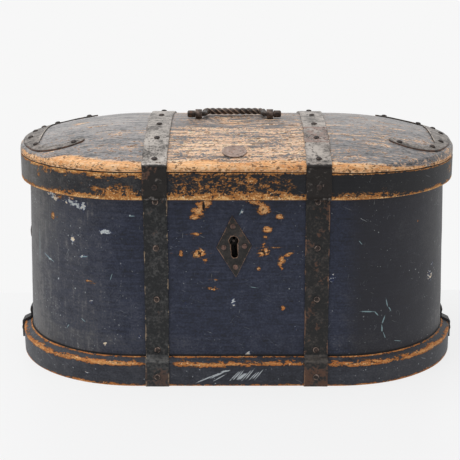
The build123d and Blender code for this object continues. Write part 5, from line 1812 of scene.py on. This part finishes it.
@dataclass
class Ironwork:
    """The iron pieces: straps, nails, plates, handle and lock."""

    hoops: Hoops
    nail_growth: float = 1.14
    disc: StudShape = StudShape((0.0, 0.2, 0.4, 0.6, 0.78, 0.92, 1.0, 1.0, 0.96),
        (0.8, 0.82, 0.84, 0.9, 0.96, 0.92, 0.7, 0.2, -0.02), 0.02, 64, 0.2)
    boss: StudShape = StudShape(facets=0.02, sectors=48, shank_share=0.2)

    def build_straps(self) -> None:
        """The two front straps and the two lid straps."""
        common = {"metallic": 0.2, "contrast": 1.5}
        front = (
            OldIron("front_iron_left", (0.012, 0.013, 0.014), (0.100, 0.098, 0.094), rust_share=0.06,
                    rust=(0.095, 0.052, 0.036), edge=(0.34, 0.25, 0.16), roughness=0.50, pit_share=0.35,
                    **common),
            OldIron("front_iron_right", (0.012, 0.012, 0.012), (0.085, 0.072, 0.062), rust_share=0.20,
                    rust=(0.110, 0.052, 0.030), edge=(0.22, 0.12, 0.07), pit_share=0.4, **common))
        common = {"edge": (0.13, 0.085, 0.06), "roughness": 0.46, "light_share": 0.12, "pit_share": 0.85,
                  "contrast": 1.25}
        # The light colours of the lid irons carry painted light from above, besides rubbing.
        over = (
            OldIron("lid_iron_left", (0.018, 0.015, 0.013), (0.50, 0.455, 0.41), rust_share=0.0, **common),
            OldIron("lid_iron_right", (0.018, 0.014, 0.012), (0.48, 0.43, 0.385), rust_share=0.02,
                    rust=(0.27, 0.18, 0.15), **common))
        straps = Straps(self.hoops)
        for side, front_iron, over_iron in zip(Side, front, over):
            straps.build_front(side, front_iron.material())
            straps.build_over(side, over_iron.material())

    def build_studs(self) -> None:
        """The six groups of nails, the disc on the lid and the boss on the left end."""
        # The edge colours of the nail irons draw the painted highlight ring on each head.
        nail_iron = OldIron("nail_iron_dark", (0.022, 0.016, 0.014), (0.16, 0.11, 0.09), rust_share=0.10,
            rust=(0.10, 0.048, 0.030), edge=(0.34, 0.25, 0.20), pit_share=0.2).material()
        lid_nail_iron = OldIron("lid_nail_iron", (0.014, 0.010, 0.009), (0.085, 0.060, 0.050),
            rust_share=0.1, rust=(0.07, 0.032, 0.020), edge=(0.09, 0.055, 0.04), light_share=0.2,
            metallic=0.2).material()
        pink_nail_iron = OldIron("plate_nail_iron", (0.06, 0.035, 0.028), (0.30, 0.19, 0.16),
            rust=(0.20, 0.105, 0.075), edge=(0.22, 0.13, 0.10), light_share=0.4).material()
        groups = ((Body.CHEST, "front_strap_nails", nail_iron),
            (Body.CHEST, "back_strap_nails", nail_iron), (Body.LID, "lid_strap_nails", lid_nail_iron),
            (Body.LID, "end_plate_nails", lid_nail_iron), (Body.CHEST, "foot_clip_nails", nail_iron),
            (Body.CHEST, "escutcheon_nails", pink_nail_iron))
        for index, (body, node, finish) in enumerate(groups):
            grow = 1.0 if body is Body.LID else self.nail_growth
            Studs(node, StudShape(), 100 + index).build("forged_" + node, body, "nail_iron", finish, grow)
        disc_iron = OldIron("disc_iron", (0.20, 0.13, 0.10), (0.52, 0.41, 0.35), rust_share=0.2,
            rust=(0.26, 0.14, 0.10), edge=(0.30, 0.20, 0.16), metallic=0.15, roughness=0.6,
            light_share=0.62).material()
        Studs("lid_disc", self.disc, 120).build("rusty_disc", Body.LID, "rusty_disc_iron", disc_iron)
        Studs("end_boss", self.boss, 121).build("forged_boss", Body.CHEST, "nail_iron", nail_iron)

    def build_handle(self) -> None:
        """The bail, lying back as far as its joint's range says, and the finish of its eyes."""
        iron = OldIron("handle_iron", (0.028, 0.020, 0.016), (0.13, 0.085, 0.062), rust_share=0.1,
            edge=(0.30, 0.22, 0.17), roughness=0.42).material()
        swing = next(joint for joint in frame["joints"] if joint["name"] == "handle_swing")
        fall = math.radians((swing["range_deg"][1] - 180) / 2)
        Bail(np.array(swing["pos_m"], dtype=float), fall).build(iron)
        dress(iron, "hinge_pin_left", "hinge_pin_right", "key_pin")
        eye_iron = OldIron("eye_iron", (0.045, 0.032, 0.026), (0.27, 0.20, 0.165), rust_share=0.22,
            rust=(0.16, 0.085, 0.058), light_share=0.42).material()
        dress(eye_iron, "handle_staple_left", "handle_staple_right")

    def build_plates(self) -> None:
        """The crescent plates and the lock plate, and the finish of the lock and the back straps."""
        # The cream edge colour draws the painted highlight along the crescents' inner edges.
        plate_iron = OldIron("plate_iron", (0.055, 0.045, 0.038), (0.36, 0.32, 0.285), rust_share=0.10,
            edge=(0.60, 0.52, 0.44), roughness=0.46, light_share=0.62, pit_share=0.9,
            contrast=1.4).material()
        for side in Side:
            Crescent().build(side, plate_iron)
        lock_plate_iron = OldIron("lock_plate_iron", (0.018, 0.017, 0.016), (0.085, 0.070, 0.060),
            rust_share=0.16, rust=(0.085, 0.046, 0.030), edge=(0.27, 0.16, 0.105), metallic=0.25,
            light_share=0.35, pit_share=0.4).material()
        LockPlate(self.hoops).build(lock_plate_iron)
        lock_iron = OldIron("lock_works_iron", (0.05, 0.045, 0.042), (0.20, 0.18, 0.16), rust_share=0.15,
            light_share=0.5).material()
        dress(lock_iron, "lock_case", "lock_case_nails", "lock_bolt", "lock_spring", "lid_staple",
            "lid_staple_nails")
        strap_iron = OldIron("back_strap_iron", (0.020, 0.019, 0.021), (0.05, 0.046, 0.044),
            rust_share=0.22, metallic=0.2).material()
        dress(strap_iron, "back_strap_left", "back_strap_right", "foot_clip_left", "foot_clip_right")


def dress(finish: Material, *nodes: str) -> None:
    """Give CAD nodes that stay as they are a finish."""
    for holder in (holder for name in nodes for holder in frame["nodes"][name].material_slots):
        holder.material = finish


def main() -> None:
    """Build every group of pieces, dress the CAD nodes that stay, and set the stage."""
    logging.basicConfig(level=logging.INFO, format="%(message)s")
    Studio().build()
    oval = Oval()
    hoops = Hoops(oval)
    Joinery(oval, hoops).build()
    iron = Ironwork(hoops)
    iron.build_straps()
    iron.build_studs()
    iron.build_handle()
    iron.build_plates()


if __name__ == "__main__":
    main()
